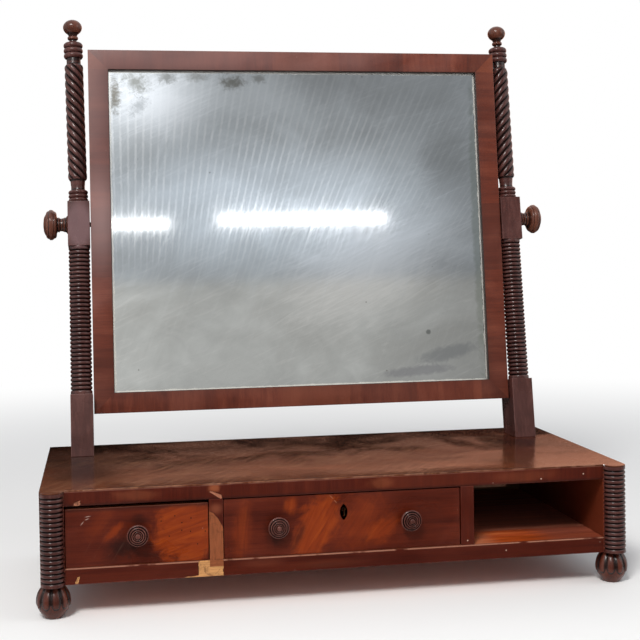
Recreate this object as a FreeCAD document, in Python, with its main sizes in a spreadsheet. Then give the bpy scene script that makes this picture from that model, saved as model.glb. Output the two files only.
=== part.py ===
"""Dressing-table mirror on a three-bay drawer box, as a parametric FreeCAD document.

Millimetres and degrees.  +X is the user's right, +Y runs from front to back, +Z is up.
The origin is on the table, under the middle of the whole object.
"""
import FreeCAD
import Part
import Sketcher
import math
import os

doc = FreeCAD.newDocument("dressing_mirror")
sheet = doc.addObject("Spreadsheet::Sheet", "Sizes")

# ---------------------------------------------------------------- driving dimensions

SIZES = dict(
    # the drawer box
    case_width=650.0,
    case_depth=296.0,
    foot_height=35.6,
    bottom_rail_height=17.3,
    opening_height=65.7,
    frieze_height=16.8,
    top_veneer=1.6,
    top_core=6.4,
    side_thickness=25.3,
    bottom_rail_depth=30.0,
    frieze_depth=20.0,
    panel_thickness=8.0,
    centre_bay_width=264.5,
    muntin_width=15.0,
    kicker_width=44.0,
    kicker_drop=6.5,
    kicker_length=150.0,
    glue_block_width=14.0,
    glue_block_length=40.0,
    # the turned columns on the front corners
    column_ring_count=20,
    ring_depth=2.4,
    ring_land=0.4,
    ring_bulge=0.55,
    # the feet
    foot_diameter=36.8,
    foot_widest_height=19.0,
    foot_neck_height=2.0,
    foot_setback=9.6,
    back_foot_setback=22.0,
    foot_pad_diameter=20.0,
    foot_neck_diameter=24.0,
    foot_spigot_diameter=12.0,
    foot_spigot_length=16.0,
    # the uprights
    upright_spacing=565.6,
    upright_setback=211.3,
    upright_width=27.2,
    plinth_depth=47.9,
    plinth_length=74.2,
    lean=9.08,
    shaft_inset=0.3,
    shaft_length=184.9,
    shaft_ring_count=36,
    block_length=56.7,
    screw_diameter=4.0,
    screw_length=30.0,
    screw_head_diameter=8.0,
    screw_head_thickness=2.5,
    screw_front_distance=12.0,
    screw_back_distance=34.0,
    # the twist columns and finials above the blocks
    left_splay=1.0,
    twist_diameter=23.8,
    twist_length=151.5,
    twist_strand_count=6,
    twist_lead=66.0,
    twist_depth=2.6,
    twist_bulge=0.9,
    twist_land=0.8,
    neck_diameter=17.8,
    base_bead_height=5.0,
    lower_neck_height=13.0,
    upper_neck_height=8.5,
    collar_diameter=24.4,
    collar_height=20.3,
    collar_ring_count=3,
    bead_bulge=2.0,
    twist_shoulder=3.0,
    dowel_diameter=10.0,
    dowel_length=18.0,
    finial_diameter=24.0,
    finial_ball_height=20.0,
    finial_bead_diameter=13.4,
    finial_neck_diameter=8.6,
    finial_neck_height=5.6,
    finial_bead_height=5.6,
    tip_diameter=3.0,
    finial_pin_diameter=6.0,
    finial_pin_length=12.0,
    # the looking glass
    mirror_height=460.9,
    pivot_above_middle=7.5,
    mirror_tilt=6.28,
    mirror_gap=1.2,
    member_width=25.6,
    member_thickness=20.0,
    pivot_behind_face=11.0,
    rabbet_width=6.0,
    rabbet_depth=12.0,
    glass_thickness=3.6,
    glass_play=1.0,
    backboard_thickness=6.0,
    backboard_margin=7.0,
    pin_diameter=1.6,
    pin_length=14.0,
    pin_head_diameter=3.6,
    pin_head_thickness=0.8,
    pin_edge_distance=6.0,
    wedge_length=30.0,
    wedge_width=4.8,
    # the clamp that holds the mirror at its angle
    clamp_screw_diameter=6.0,
    clamp_screw_reach=12.0,
    clamp_screw_room=1.0,
    clamp_knob_diameter=38.0,
    clamp_knob_length=30.0,
    clamp_head_thickness=16.5,
    clamp_waist_diameter=16.2,
    clamp_flare_diameter=22.4,
    clamp_screw_grip=18.0,
    nut_plate_width=14.0,
    nut_plate_length=44.0,
    nut_plate_thickness=3.0,
    nut_screw_spacing=30.0,
    nut_screw_diameter=3.0,
    nut_screw_length=11.0,
    nut_screw_head_diameter=5.6,
    nut_screw_head_thickness=1.2,
    # the drawers
    drawer_recess=2.0,
    drawer_front_thickness=18.0,
    drawer_length=262.0,
    drawer_side_thickness=7.0,
    drawer_bottom_thickness=5.0,
    drawer_bottom_raise=6.0,
    drawer_groove_depth=3.5,
    drawer_lap=12.0,
    drawer_play=0.8,
    left_drawer_top_gap=4.0,
    centre_drawer_top_gap=1.2,
    centre_knob_spacing=146.6,
    knob_diameter=23.0,
    knob_projection=17.5,
    knob_waist_diameter=12.0,
    knob_head_thickness=10.5,
    knob_spigot_diameter=8.0,
    knob_button_diameter=8.0,
    knob_flange_diameter=17.0,
    knob_flange_thickness=2.0,
    drawer_back_drop=4.0,
    # the lock of the centre drawer
    lock_width=46.0,
    lock_height=32.0,
    lock_depth=9.0,
    keyhole_drop=20.5,
    keyhole_width=3.6,
    keyhole_height=9.0,
    escutcheon_width=8.4,
    escutcheon_height=18.2,
    escutcheon_thickness=1.4,
    bolt_width=18.0,
    bolt_thickness=4.0,
    bolt_length=14.0,
    bolt_throw=5.5,
    bolt_room=0.5,
    lock_screw_diameter=2.6,
    lock_screw_length=14.0,
    lock_screw_inset=5.0,
    lock_screw_head_diameter=5.0,
    lock_screw_head_thickness=1.0,
    # clearances
    running_gap=0.3,
    journal_clearance=0.08,
    joint_clearance=0.05,
)


class Dim:
    """A size held both as a number and as the spreadsheet expression that gives it."""

    def __init__(self, value, text):
        self.value = float(value)
        self.text = text

    def __add__(self, other):
        other = as_dim(other)
        return Dim(self.value + other.value, f"({self.text} + {other.text})")

    def __sub__(self, other):
        other = as_dim(other)
        return Dim(self.value - other.value, f"({self.text} - {other.text})")

    def __mul__(self, other):
        other = as_dim(other)
        return Dim(self.value * other.value, f"({self.text} * {other.text})")

    def __truediv__(self, other):
        other = as_dim(other)
        return Dim(self.value / other.value, f"({self.text} / {other.text})")

    def __neg__(self):
        return Dim(-self.value, f"(-1 * {self.text})")

    def __radd__(self, other):
        return as_dim(other) + self

    def __rsub__(self, other):
        return as_dim(other) - self

    def __rmul__(self, other):
        return as_dim(other) * self


def as_dim(value):
    """A plain number becomes a Dim whose expression is that number."""
    return value if isinstance(value, Dim) else Dim(value, f"{float(value):.6f}")


def sine(angle):
    return Dim(math.sin(math.radians(angle.value)), f"sin({angle.text})")


def cosine(angle):
    return Dim(math.cos(math.radians(angle.value)), f"cos({angle.text})")


def root(square):
    return Dim(math.sqrt(square.value), f"sqrt({square.text})")


class Sheet:
    """The driving dimensions by name, each a Dim bound to its spreadsheet cell."""


S = Sheet()
for row, (alias, number) in enumerate(SIZES.items(), start=1):
    sheet.set(f"A{row}", alias)
    sheet.set(f"B{row}", str(number))
    sheet.setAlias(f"B{row}", alias)
    setattr(S, alias, Dim(number, f"Sizes.{alias}"))
doc.recompute()

# ---------------------------------------------------------------- derived places

LEFT, RIGHT = -1, 1
HALF_WIDTH = S.case_width / 2
INNER_SIDE = HALF_WIDTH - S.side_thickness
CASE_BOTTOM = S.foot_height
OPENING_BOTTOM = CASE_BOTTOM + S.bottom_rail_height
OPENING_TOP = OPENING_BOTTOM + S.opening_height
CASE_TOP = OPENING_TOP + S.frieze_height
CORE_BOTTOM = CASE_TOP - S.top_veneer - S.top_core
MUNTIN_INNER = S.centre_bay_width / 2
MUNTIN_OUTER = MUNTIN_INNER + S.muntin_width
COLUMN_RADIUS = S.side_thickness / 2
COLUMN_X = HALF_WIDTH - COLUMN_RADIUS

# along the leaning axis of an upright, from the point where it meets the top
BLOCK_START = S.plinth_length + S.shaft_length
BLOCK_END = BLOCK_START + S.block_length
PIVOT_LENGTH = BLOCK_START + S.block_length / 2

# along a twist column, from the top of its block
TWIST_START = 3 * S.base_bead_height + S.lower_neck_height
TWIST_END = TWIST_START + S.twist_length
COLLAR_START = TWIST_END + S.upper_neck_height
COLLAR_END = COLLAR_START + S.collar_height
FINIAL_HEIGHT = S.finial_neck_height + S.finial_bead_height + S.finial_ball_height
BALL_MIDDLE = BLOCK_END + COLLAR_END + FINIAL_HEIGHT - S.finial_ball_height / 2

# the origin lies midway between the drawer knobs and the backs of the finials
AXIS_SETBACK = S.upright_setback + S.upright_width / 2 / cosine(S.lean)
BACK_REACH = AXIS_SETBACK + BALL_MIDDLE * sine(S.lean) + S.finial_diameter / 2
FRONT_REACH = S.knob_projection - S.drawer_recess
FRONT = -1 * (BACK_REACH - FRONT_REACH) / 2
BACK = FRONT + S.case_depth
AXIS_Y = FRONT + AXIS_SETBACK
UPRIGHT_X = S.upright_spacing / 2

# the mirror turns about the line through the middles of the two blocks
PIVOT_Y = AXIS_Y + PIVOT_LENGTH * sine(S.lean)
PIVOT_Z = CASE_TOP + PIVOT_LENGTH * cosine(S.lean)
BLOCK_INNER_X = UPRIGHT_X - S.upright_width / 2
BLOCK_OUTER_X = UPRIGHT_X + S.upright_width / 2
MIRROR_HALF = BLOCK_INNER_X - S.mirror_gap
HALF_HEIGHT = S.mirror_height / 2
FACE_Y = -1 * S.pivot_behind_face
FRAME_BACK_Y = FACE_Y + S.member_thickness
GLASS_FACE_Y = FRAME_BACK_Y - S.rabbet_depth
GLASS_BACK_Y = GLASS_FACE_Y + S.glass_thickness

# the drawers
FRONT_FACE_Y = FRONT + S.drawer_recess
FRONT_BACK_Y = FRONT_FACE_Y + S.drawer_front_thickness
DRAWER_END_Y = FRONT_FACE_Y + S.drawer_length
DRAWER_BOTTOM = OPENING_BOTTOM + S.running_gap
SIDE_TOP = OPENING_TOP - S.kicker_drop - S.drawer_play
KNOB_Z = OPENING_BOTTOM + S.opening_height / 2
CENTRE_FRONT_TOP = OPENING_TOP - S.centre_drawer_top_gap
BOLT_Y = FRONT_BACK_Y - S.lock_depth / 2
KEYHOLE_Z = CENTRE_FRONT_TOP - S.keyhole_drop

# ---------------------------------------------------------------- document helpers


def side_name(side):
    return "left" if side == LEFT else "right"


def bind(thing, prop, size):
    """Ties one property to the sheet through a Dim."""
    thing.setExpression(prop, as_dim(size).text)


class Frame:
    """A place that leans back by an angle about a line along X; boards and rods sit in it."""

    def __init__(self, x=0, y=0, z=0, lean=None):
        self.at = (as_dim(x), as_dim(y), as_dim(z))
        self.lean = lean

    def world(self, at):
        """A point of this frame in the object's own coordinates."""
        x, y, z = (as_dim(value) for value in at)
        if self.lean is not None:
            s, c = sine(self.lean), cosine(self.lean)
            y, z = y * c + z * s, z * c - y * s
        return (self.at[0] + x, self.at[1] + y, self.at[2] + z)

    def turns(self):
        return [] if self.lean is None else [((1, 0, 0), -1 * self.lean)]


CASE = Frame()
MIRROR = Frame(0, PIVOT_Y - S.pivot_above_middle * sine(S.mirror_tilt),
               PIVOT_Z - S.pivot_above_middle * cosine(S.mirror_tilt), S.mirror_tilt)
PIVOT_IN_MIRROR = S.pivot_above_middle


def upright_frame(side):
    """Z runs up the leaning axis, from the point where the axis meets the top."""
    return Frame(side * UPRIGHT_X, AXIS_Y, CASE_TOP, S.lean)


def place(thing, at, turns=(), frame=CASE):
    """Ties a whole placement to the sheet: a point of a frame, then turns about axes through it."""
    x, y, z = (value.text for value in frame.world(at))
    steps = [f"rotation(vector({axis[0]}; {axis[1]}; {axis[2]}); {as_dim(angle).text})"
             for axis, angle in frame.turns() + list(turns)] or ["rotation(vector(0; 0; 1); 0)"]
    thing.setExpression("Placement", f"placement(vector({x}; {y}; {z}); {' * '.join(steps)})")


def board(label, low, high, frame=CASE):
    """A plain rectangular board between its lowest and highest corners."""
    solid = doc.addObject("Part::Box", label)
    for prop, a, b in zip(("Length", "Width", "Height"), low, high):
        bind(solid, prop, as_dim(b) - as_dim(a))
    place(solid, low, frame=frame)
    return solid


TURNS = {"+x": [((0, 1, 0), 90)], "-x": [((0, 1, 0), -90)], "+y": [((1, 0, 0), -90)],
         "-y": [((1, 0, 0), 90)], "+z": [], "-z": [((1, 0, 0), 180)]}


def rod(label, diameter, length, at, direction, frame=CASE):
    """A straight round bar from a point, along one of the main directions of a frame."""
    solid = doc.addObject("Part::Cylinder", label)
    bind(solid, "Radius", as_dim(diameter) / 2)
    bind(solid, "Height", length)
    place(solid, at, TURNS[direction], frame)
    return solid


def together(label, pieces):
    """Several separate solids kept as one node, such as a set of identical screws."""
    group = doc.addObject("Part::Compound", label)
    group.Links = pieces
    return group


def joined(label, pieces):
    """Several overlapping solids made one."""
    fusion = doc.addObject("Part::MultiFuse", label)
    fusion.Shapes = pieces
    return fusion


def cut(label, blank, tools):
    """A blank less one or more tools."""
    result = doc.addObject("Part::Cut", label)
    result.Base = blank
    result.Tool = tools[0] if len(tools) == 1 else joined(label + "_cutters", tools)
    return result


def body(label):
    return doc.addObject("PartDesign::Body", label)


def origin_part(owner, role):
    """An origin plane or axis of a body, such as XZ_Plane or Z_Axis."""
    return next(part for part in owner.Origin.OriginFeatures if part.Role == role)


def sketch_on(owner, plane, name):
    sketch = owner.newObject("Sketcher::SketchObject", name)
    sketch.AttachmentSupport = [(origin_part(owner, plane), "")]
    sketch.MapMode = "FlatFace"
    return sketch


def arc_between(start, end, bulge):
    """The arc over a chord; a positive bulge lies on the right of the way, and runs with it."""
    if bulge < 0:
        start, end = end, start
    dx, dy = end[0] - start[0], end[1] - start[1]
    chord, height = math.hypot(dx, dy), abs(bulge)
    radius = (chord * chord / 4 + height * height) / (2 * height)
    inward = (radius - height) / chord
    centre = ((start[0] + end[0]) / 2 - dy * inward, (start[1] + end[1]) / 2 + dx * inward)
    first = math.atan2(start[1] - centre[1], start[0] - centre[0])
    last = math.atan2(end[1] - centre[1], end[0] - centre[0])
    circle = Part.Circle(FreeCAD.Vector(*centre, 0), FreeCAD.Vector(0, 0, 1), radius)
    return Part.ArcOfCircle(circle, first, last if last > first else last + 2 * math.pi)


def outline(sketch, corners):
    """Draws a closed outline and ties each corner and each arc to the sheet.

    A corner is (across, up) or (across, up, bulge).  The bulge is the height of the arc
    that leads to that corner from the one before; it is left out for a straight run.
    """
    points = [(as_dim(c[0]), as_dim(c[1])) for c in corners]
    bulges = [as_dim(c[2]) if len(c) > 2 else None for c in corners]
    spots = [(across.value, up.value) for across, up in points]
    count = len(points)
    tails, heads = [], []
    for index, bulge in enumerate(bulges):
        start, end = spots[index - 1], spots[index]
        if bulge is None:
            run = Part.LineSegment(FreeCAD.Vector(*start, 0), FreeCAD.Vector(*end, 0))
        else:
            run = arc_between(start, end, bulge.value)
        sketch.addGeometry(run, False)
        backwards = bulge is not None and bulge.value < 0
        tails.append(2 if backwards else 1)
        heads.append(1 if backwards else 2)
    for index in range(count):
        following = (index + 1) % count
        sketch.addConstraint(Sketcher.Constraint(
            "Coincident", index, heads[index], following, tails[following]))
    for index, (across, up) in enumerate(points):
        for kind, size in (("DistanceX", across), ("DistanceY", up)):
            tie = sketch.addConstraint(Sketcher.Constraint(
                kind, -1, 1, index, heads[index], size.value))
            sketch.setExpression(f"Constraints[{tie}]", size.text)
        if bulges[index] is not None:
            dx, dy = across - points[index - 1][0], up - points[index - 1][1]
            height = root(bulges[index] * bulges[index])
            radius = ((dx * dx + dy * dy) / 4 + height * height) / (2 * height)
            tie = sketch.addConstraint(Sketcher.Constraint("Radius", index, radius.value))
            sketch.setExpression(f"Constraints[{tie}]", radius.text)


def swell(narrow, wide, height):
    """Bulge of an arc that grows from one radius to a wider one and stands upright there."""
    grown, rise = wide - narrow, as_dim(height)
    radius = (grown * grown + rise * rise) / (2 * grown)
    chord_square = grown * grown + rise * rise
    return radius - root(radius * radius - chord_square / 4)


def turn(owner, name, corners):
    """Adds a turned solid: an outline of (radius, height) corners spun about the body's Z."""
    profile = sketch_on(owner, "XZ_Plane", name + "_outline")
    outline(profile, corners)
    feature = owner.newObject("PartDesign::Revolution", name)
    feature.Profile = profile
    feature.ReferenceAxis = (profile, ["V_Axis"])
    feature.Angle = 360
    return feature


def ring_grooves(owner, name, radius, start, pitch, count):
    """Turns a run of touching beads: one cusped groove between two beads, repeated up the axis."""
    half_mouth = (pitch - S.ring_land) / 2
    valley = start + pitch
    floor = radius - S.ring_depth
    profile = sketch_on(owner, "XZ_Plane", name + "_outline")
    clear = radius + 1
    outline(profile, [(clear, valley - half_mouth), (clear, valley + half_mouth),
                      (radius, valley + half_mouth),
                      (floor, valley, -1 * S.ring_bulge),
                      (radius, valley - half_mouth, -1 * S.ring_bulge)])
    groove = owner.newObject("PartDesign::Groove", name)
    groove.Profile = profile
    groove.ReferenceAxis = (profile, ["V_Axis"])
    groove.Angle = 360
    pattern = owner.newObject("PartDesign::LinearPattern", name + "_run")
    pattern.Originals = [groove]
    pattern.Direction = (origin_part(owner, "Z_Axis"), [""])
    bind(pattern, "Length", pitch * (count - 2))
    bind(pattern, "Occurrences", count - 1)
    owner.Tip = pattern
    return pattern


def pad(owner, plane, name, corners, depth):
    """Adds the outline's shape, equally thick on both sides of the sketch's plane."""
    profile = sketch_on(owner, plane, name + "_outline")
    outline(profile, corners)
    feature = owner.newObject("PartDesign::Pad", name)
    feature.Profile = profile
    feature.Midplane = True
    bind(feature, "Length", depth)
    return feature


def pocket(owner, plane, name, corners, depth):
    """Cuts the outline's shape out, equally far on both sides of the sketch's plane."""
    profile = sketch_on(owner, plane, name + "_outline")
    outline(profile, corners)
    feature = owner.newObject("PartDesign::Pocket", name)
    feature.Profile = profile
    feature.Midplane = True
    bind(feature, "Length", depth)
    return feature


def rectangle(low, high):
    return [(low[0], low[1]), (high[0], low[1]), (high[0], high[1]), (low[0], high[1])]


def screw(label, shank, length, head, head_thickness, at, direction, frame=CASE):
    """A round-headed screw whose head sits on the point and whose shank runs on from it."""
    back = {"+": "-", "-": "+"}[direction[0]] + direction[1]
    pieces = [rod(label + "_shank", shank, length, at, direction, frame),
              rod(label + "_head", head, head_thickness, at, back, frame)]
    return joined(label, pieces)


# ---------------------------------------------------------------- the drawer box

NODES = []


def node(solid):
    """Marks a finished piece: its label names its file."""
    NODES.append(solid)
    return solid


def plinth_spots(side):
    """Where the two screws under an upright come up through the top."""
    foot = FRONT + S.upright_setback
    return [(side * UPRIGHT_X, foot + S.screw_front_distance),
            (side * UPRIGHT_X, foot + S.screw_back_distance)]


def screw_holes(label, side):
    """Vertical clearance holes for the screws that hold one upright."""
    return [rod(f"{label}_{spot}", S.screw_diameter + 2 * S.joint_clearance,
                S.screw_length + 1, (x, y, CORE_BOTTOM), "+z")
            for spot, (x, y) in enumerate(plinth_spots(side))]


def make_top_board():
    """A core board under a skin whose front corners round out over the columns."""
    skin_bottom = CASE_TOP - S.top_veneer
    skin = board("top_skin", (-1 * HALF_WIDTH, FRONT, skin_bottom), (HALF_WIDTH, BACK, CASE_TOP))
    ears = [rod(f"top_ear_{side_name(side)}", S.side_thickness, S.top_veneer,
                (side * COLUMN_X, FRONT, skin_bottom), "+z") for side in (LEFT, RIGHT)]
    core = board("top_core", (-1 * HALF_WIDTH, FRONT, CORE_BOTTOM), (HALF_WIDTH, BACK, skin_bottom))
    frieze_room = board("top_frieze_room", (-1 * INNER_SIDE, FRONT - 1, CORE_BOTTOM - 1),
                        (INNER_SIDE, FRONT + S.frieze_depth, skin_bottom))
    whole = joined("top_blank", [skin, cut("top_core_notched", core, [frieze_room])] + ears)
    holes = [hole for side in (LEFT, RIGHT)
             for hole in screw_holes(f"top_screw_hole_{side_name(side)}", side)]
    node(cut("top_board", whole, holes))


def foot_spots(side):
    return [("front", side * COLUMN_X, FRONT + S.foot_setback),
            ("back", side * COLUMN_X, BACK - S.back_foot_setback)]


def make_side(side):
    """A thick side board; its front edge carries a half-round column, its corners the feet."""
    name = side_name(side)
    low, high = sorted([side * INNER_SIDE, side * HALF_WIDTH], key=lambda size: size.value)
    blank = board(f"{name}_side_blank", (low, FRONT, CASE_BOTTOM), (high, BACK, CORE_BOTTOM))
    sockets = [rod(f"{name}_{end}_foot_socket", S.foot_spigot_diameter + 2 * S.joint_clearance,
                   S.foot_spigot_length + 1, (x, y, CASE_BOTTOM), "+z")
               for end, x, y in foot_spots(side)]
    node(cut(f"{name}_side", blank, sockets))


def make_column(side):
    """A ring-turned column split down its length and glued to the edge of the side board."""
    name = f"{side_name(side)}_column"
    column = body(name)
    height = CASE_TOP - S.top_veneer - CASE_BOTTOM
    turn(column, name + "_turning",
         [(0, 0), (COLUMN_RADIUS, 0), (COLUMN_RADIUS, height), (0, height)])
    ring_grooves(column, name + "_rings", COLUMN_RADIUS, as_dim(0),
                 height / S.column_ring_count, S.column_ring_count)
    margin = COLUMN_RADIUS + 1
    split = pocket(column, "XY_Plane", name + "_split",
                   rectangle((-1 * margin, 0), (margin, margin)), 2 * height + 2)
    column.Tip = split
    place(column, (side * COLUMN_X, FRONT, CASE_BOTTOM))
    node(column)


def make_rails():
    """The frieze and bottom rails, the uprights between the bays, and the boards behind them."""
    skin_bottom = CASE_TOP - S.top_veneer
    rail_end = FRONT + S.frieze_depth
    back_face = BACK - S.panel_thickness
    frieze = board("frieze_blank", (-1 * INNER_SIDE, FRONT, OPENING_TOP),
                   (INNER_SIDE, rail_end, skin_bottom))
    half_wide = S.bolt_width / 2 + S.bolt_room
    half_thick = S.bolt_thickness / 2 + S.bolt_room
    mortise = board("frieze_bolt_mortise",
                    (-1 * half_wide, BOLT_Y - half_thick, OPENING_TOP - 1),
                    (half_wide, BOLT_Y + half_thick,
                     CENTRE_FRONT_TOP + S.bolt_throw + 2 * S.bolt_room))
    node(cut("frieze_rail", frieze, [mortise]))
    node(board("bottom_rail", (-1 * INNER_SIDE, FRONT, CASE_BOTTOM),
               (INNER_SIDE, FRONT + S.bottom_rail_depth, OPENING_BOTTOM)))
    node(board("base_board",
               (-1 * INNER_SIDE, FRONT + S.bottom_rail_depth, OPENING_BOTTOM - S.panel_thickness),
               (INNER_SIDE, back_face, OPENING_BOTTOM)))
    node(board("back_panel", (-1 * INNER_SIDE, back_face, CASE_BOTTOM),
               (INNER_SIDE, BACK, CORE_BOTTOM)))
    for side in (LEFT, RIGHT):
        low, high = sorted([side * MUNTIN_INNER, side * MUNTIN_OUTER], key=lambda size: size.value)
        name = side_name(side)
        node(board(f"{name}_muntin", (low, FRONT, OPENING_BOTTOM), (high, rail_end, OPENING_TOP)))
        node(board(f"{name}_partition", (low, rail_end, OPENING_BOTTOM),
                   (high, back_face, CORE_BOTTOM)))


BAYS = {"left": (-1 * INNER_SIDE, -1 * MUNTIN_OUTER),
        "centre": (-1 * MUNTIN_INNER, MUNTIN_INNER),
        "right": (MUNTIN_OUTER, INNER_SIDE)}


def make_kickers():
    """A strip under the top at the left of each bay: it stops the drawer front and its tipping."""
    start = FRONT_BACK_Y + S.running_gap
    strips = [board(f"{bay}_kicker", (low, start, OPENING_TOP - S.kicker_drop),
                    (low + S.kicker_width, start + S.kicker_length, CORE_BOTTOM))
              for bay, (low, _) in BAYS.items()]
    node(together("kickers", strips))


def make_glue_blocks():
    """Small blocks rubbed into the corners under the base board."""
    under = OPENING_BOTTOM - S.panel_thickness
    first = FRONT + S.bottom_rail_depth
    last = BACK - S.panel_thickness - S.glue_block_length
    blocks = []
    for side in (LEFT, RIGHT):
        edges = sorted([side * INNER_SIDE, side * (INNER_SIDE - S.glue_block_width)],
                       key=lambda size: size.value)
        for place_name, start in (("front", first), ("middle", (first + last) / 2),
                                  ("back", last)):
            blocks.append(board(f"{side_name(side)}_{place_name}_glue_block",
                                (edges[0], start, CASE_BOTTOM),
                                (edges[1], start + S.glue_block_length, under)))
    node(together("glue_blocks", blocks))


def make_foot(side, end, x, y):
    """A turned bun foot with a spigot that goes up into the corner of the case."""
    name = f"{end}_{side_name(side)}_foot"
    foot = body(name)
    widest, neck = S.foot_diameter / 2, S.foot_neck_diameter / 2
    spigot, top = S.foot_spigot_diameter / 2, S.foot_height + S.foot_spigot_length
    pad_radius, neck_start = S.foot_pad_diameter / 2, S.foot_height - S.foot_neck_height
    turn(foot, name + "_turning",
         [(0, 0), (pad_radius, 0),
          (widest, S.foot_widest_height, swell(pad_radius, widest, S.foot_widest_height)),
          (neck, neck_start, swell(neck, widest, neck_start - S.foot_widest_height)),
          (neck, S.foot_height),
          (spigot, S.foot_height), (spigot, top), (0, top)])
    place(foot, (x, y, 0))
    node(foot)


# ---------------------------------------------------------------- the uprights


def make_upright(side):
    """Plinth, ring-turned shaft and square block, worked from one leaning length of wood."""
    name = f"{side_name(side)}_upright"
    stem = body(name + "_stem")
    half, slope = S.upright_width / 2, sine(S.lean) / cosine(S.lean)
    shaft = half - S.shaft_inset
    turn(stem, name + "_shaft",
         [(0, S.plinth_length / 2), (shaft, S.plinth_length / 2), (shaft, BLOCK_START + half),
          (0, BLOCK_START + half)])
    ring_grooves(stem, name + "_rings", shaft, S.plinth_length,
                 S.shaft_length / S.shaft_ring_count, S.shaft_ring_count)
    back = S.plinth_depth - half
    pad(stem, "YZ_Plane", name + "_plinth",
        [(-1 * half, -1 * half * slope), (back, back * slope), (back, S.plinth_length),
         (-1 * half, S.plinth_length)], S.upright_width)
    block = pad(stem, "YZ_Plane", name + "_block",
                rectangle((-1 * half, BLOCK_START), (half, BLOCK_END)), S.upright_width)
    stem.Tip = block
    frame = upright_frame(side)
    place(stem, (0, 0, 0), frame=frame)
    screw_bore = rod(name + "_clamp_bore", S.clamp_screw_diameter + 2 * S.journal_clearance,
                     S.upright_width + 2, (side * (BLOCK_INNER_X - 1), PIVOT_Y, PIVOT_Z),
                     "+x" if side == RIGHT else "-x")
    socket = rod(name + "_dowel_socket", S.dowel_diameter + 2 * S.joint_clearance,
                 S.dowel_length + 2, (0, 0, 0), "+z")
    place(socket, *column_place(side, -1 * S.dowel_length - 1))
    node(cut(name, stem, [screw_bore, socket] + screw_holes(name + "_screw_hole", side)))


def column_place(side, up):
    """A point up the axis of a twist column and the turns of its frame; the left one splays."""
    frame = upright_frame(side)
    splay = S.left_splay if side == LEFT else as_dim(0)
    lift = S.twist_diameter / 2 * sine(splay)
    along = up + 0 if isinstance(up, Dim) else as_dim(up)
    point = (-1 * along * sine(splay), 0, BLOCK_END + lift + along * cosine(splay))
    return frame.world(point), frame.turns() + [((0, 1, 0), -1 * splay)]


def beads(radius, start, height, count):
    """Corners of a stack of round beads, going up."""
    valley = radius - S.bead_bulge
    return [(valley, start)] + [(valley, start + height * step, S.bead_bulge)
                                for step in range(1, count + 1)]


def rope_grooves(owner, name, left_handed):
    """Cuts one helical hollow between two strands and repeats it round the barrel."""
    barrel, floor = S.twist_diameter / 2, S.twist_diameter / 2 - S.twist_depth
    half_mouth = (S.twist_lead / S.twist_strand_count - S.twist_land) / 2
    start, clear = TWIST_START - S.twist_shoulder, barrel + 1
    profile = sketch_on(owner, "XZ_Plane", name + "_outline")
    outline(profile, [(clear, start - half_mouth), (clear, start + half_mouth),
                      (barrel, start + half_mouth), (floor, start, -1 * S.twist_bulge),
                      (barrel, start - half_mouth, -1 * S.twist_bulge)])
    hollow = owner.newObject("PartDesign::SubtractiveHelix", name)
    hollow.Profile = profile
    hollow.ReferenceAxis = (profile, ["V_Axis"])
    hollow.Mode = "pitch-height-angle"
    hollow.LeftHanded = left_handed
    bind(hollow, "Pitch", S.twist_lead)
    bind(hollow, "Height", S.twist_length + 1.5 * S.twist_shoulder)
    ring = owner.newObject("PartDesign::PolarPattern", name + "_strands")
    ring.Originals = [hollow]
    ring.Axis = (origin_part(owner, "Z_Axis"), [""])
    ring.Angle = 360
    bind(ring, "Occurrences", S.twist_strand_count)
    owner.Tip = ring


def make_twist_column(side):
    """Beads, neck, rope-twist barrel, neck and a three-ring collar, dowelled into the block."""
    name = f"{side_name(side)}_twist_column"
    column = body(name)
    dowel, neck = S.dowel_diameter / 2, S.neck_diameter / 2
    barrel, collar = S.twist_diameter / 2, S.collar_diameter / 2
    pin = S.finial_pin_diameter / 2 + S.joint_clearance
    socket = COLLAR_END - S.finial_pin_length - 1
    shoulder = S.twist_shoulder
    turn(column, name + "_turning",
         [(0, -1 * S.dowel_length), (dowel, -1 * S.dowel_length), (dowel, 0)]
         + beads(collar, as_dim(0), S.base_bead_height, 3)
         + [(neck, 3 * S.base_bead_height), (neck, TWIST_START),
            (barrel, TWIST_START + shoulder), (barrel, TWIST_END - shoulder),
            (neck, TWIST_END), (neck, COLLAR_START)]
         + beads(collar, COLLAR_START, S.collar_height / S.collar_ring_count, 3)
         + [(pin, COLLAR_END), (pin, socket), (0, socket)])
    rope_grooves(column, name + "_rope", side == LEFT)
    place(column, *column_place(side, 0))
    node(column)


def make_finial(side):
    """A ball on a bead and a short neck, with a pin down into the collar."""
    name = f"{side_name(side)}_finial"
    finial = body(name)
    pin, neck = S.finial_pin_diameter / 2, S.finial_neck_diameter / 2
    ball, bead, tip = S.finial_diameter / 2, S.finial_bead_diameter / 2, S.tip_diameter / 2
    bead_start, ball_start = S.finial_neck_height, S.finial_neck_height + S.finial_bead_height
    half_ball = S.finial_ball_height / 2
    middle = ball_start + half_ball
    turn(finial, name + "_turning",
         [(0, -1 * S.finial_pin_length), (pin, -1 * S.finial_pin_length), (pin, 0),
          (neck + 1, 0), (neck, bead_start / 2), (neck, bead_start),
          (neck, ball_start, bead - neck), (ball, middle, swell(neck, ball, half_ball)),
          (tip, FINIAL_HEIGHT, swell(tip, ball, half_ball)), (0, FINIAL_HEIGHT)])
    place(finial, *column_place(side, COLLAR_END))
    node(finial)


def make_upright_screws():
    """Screws driven up through the top into the feet of the two uprights."""
    screws = [screw(f"upright_screw_{side_name(side)}_{spot}", S.screw_diameter, S.screw_length,
                    S.screw_head_diameter, S.screw_head_thickness, (x, y, CORE_BOTTOM), "+z")
              for side in (LEFT, RIGHT) for spot, (x, y) in enumerate(plinth_spots(side))]
    node(together("upright_screws", screws))


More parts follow.
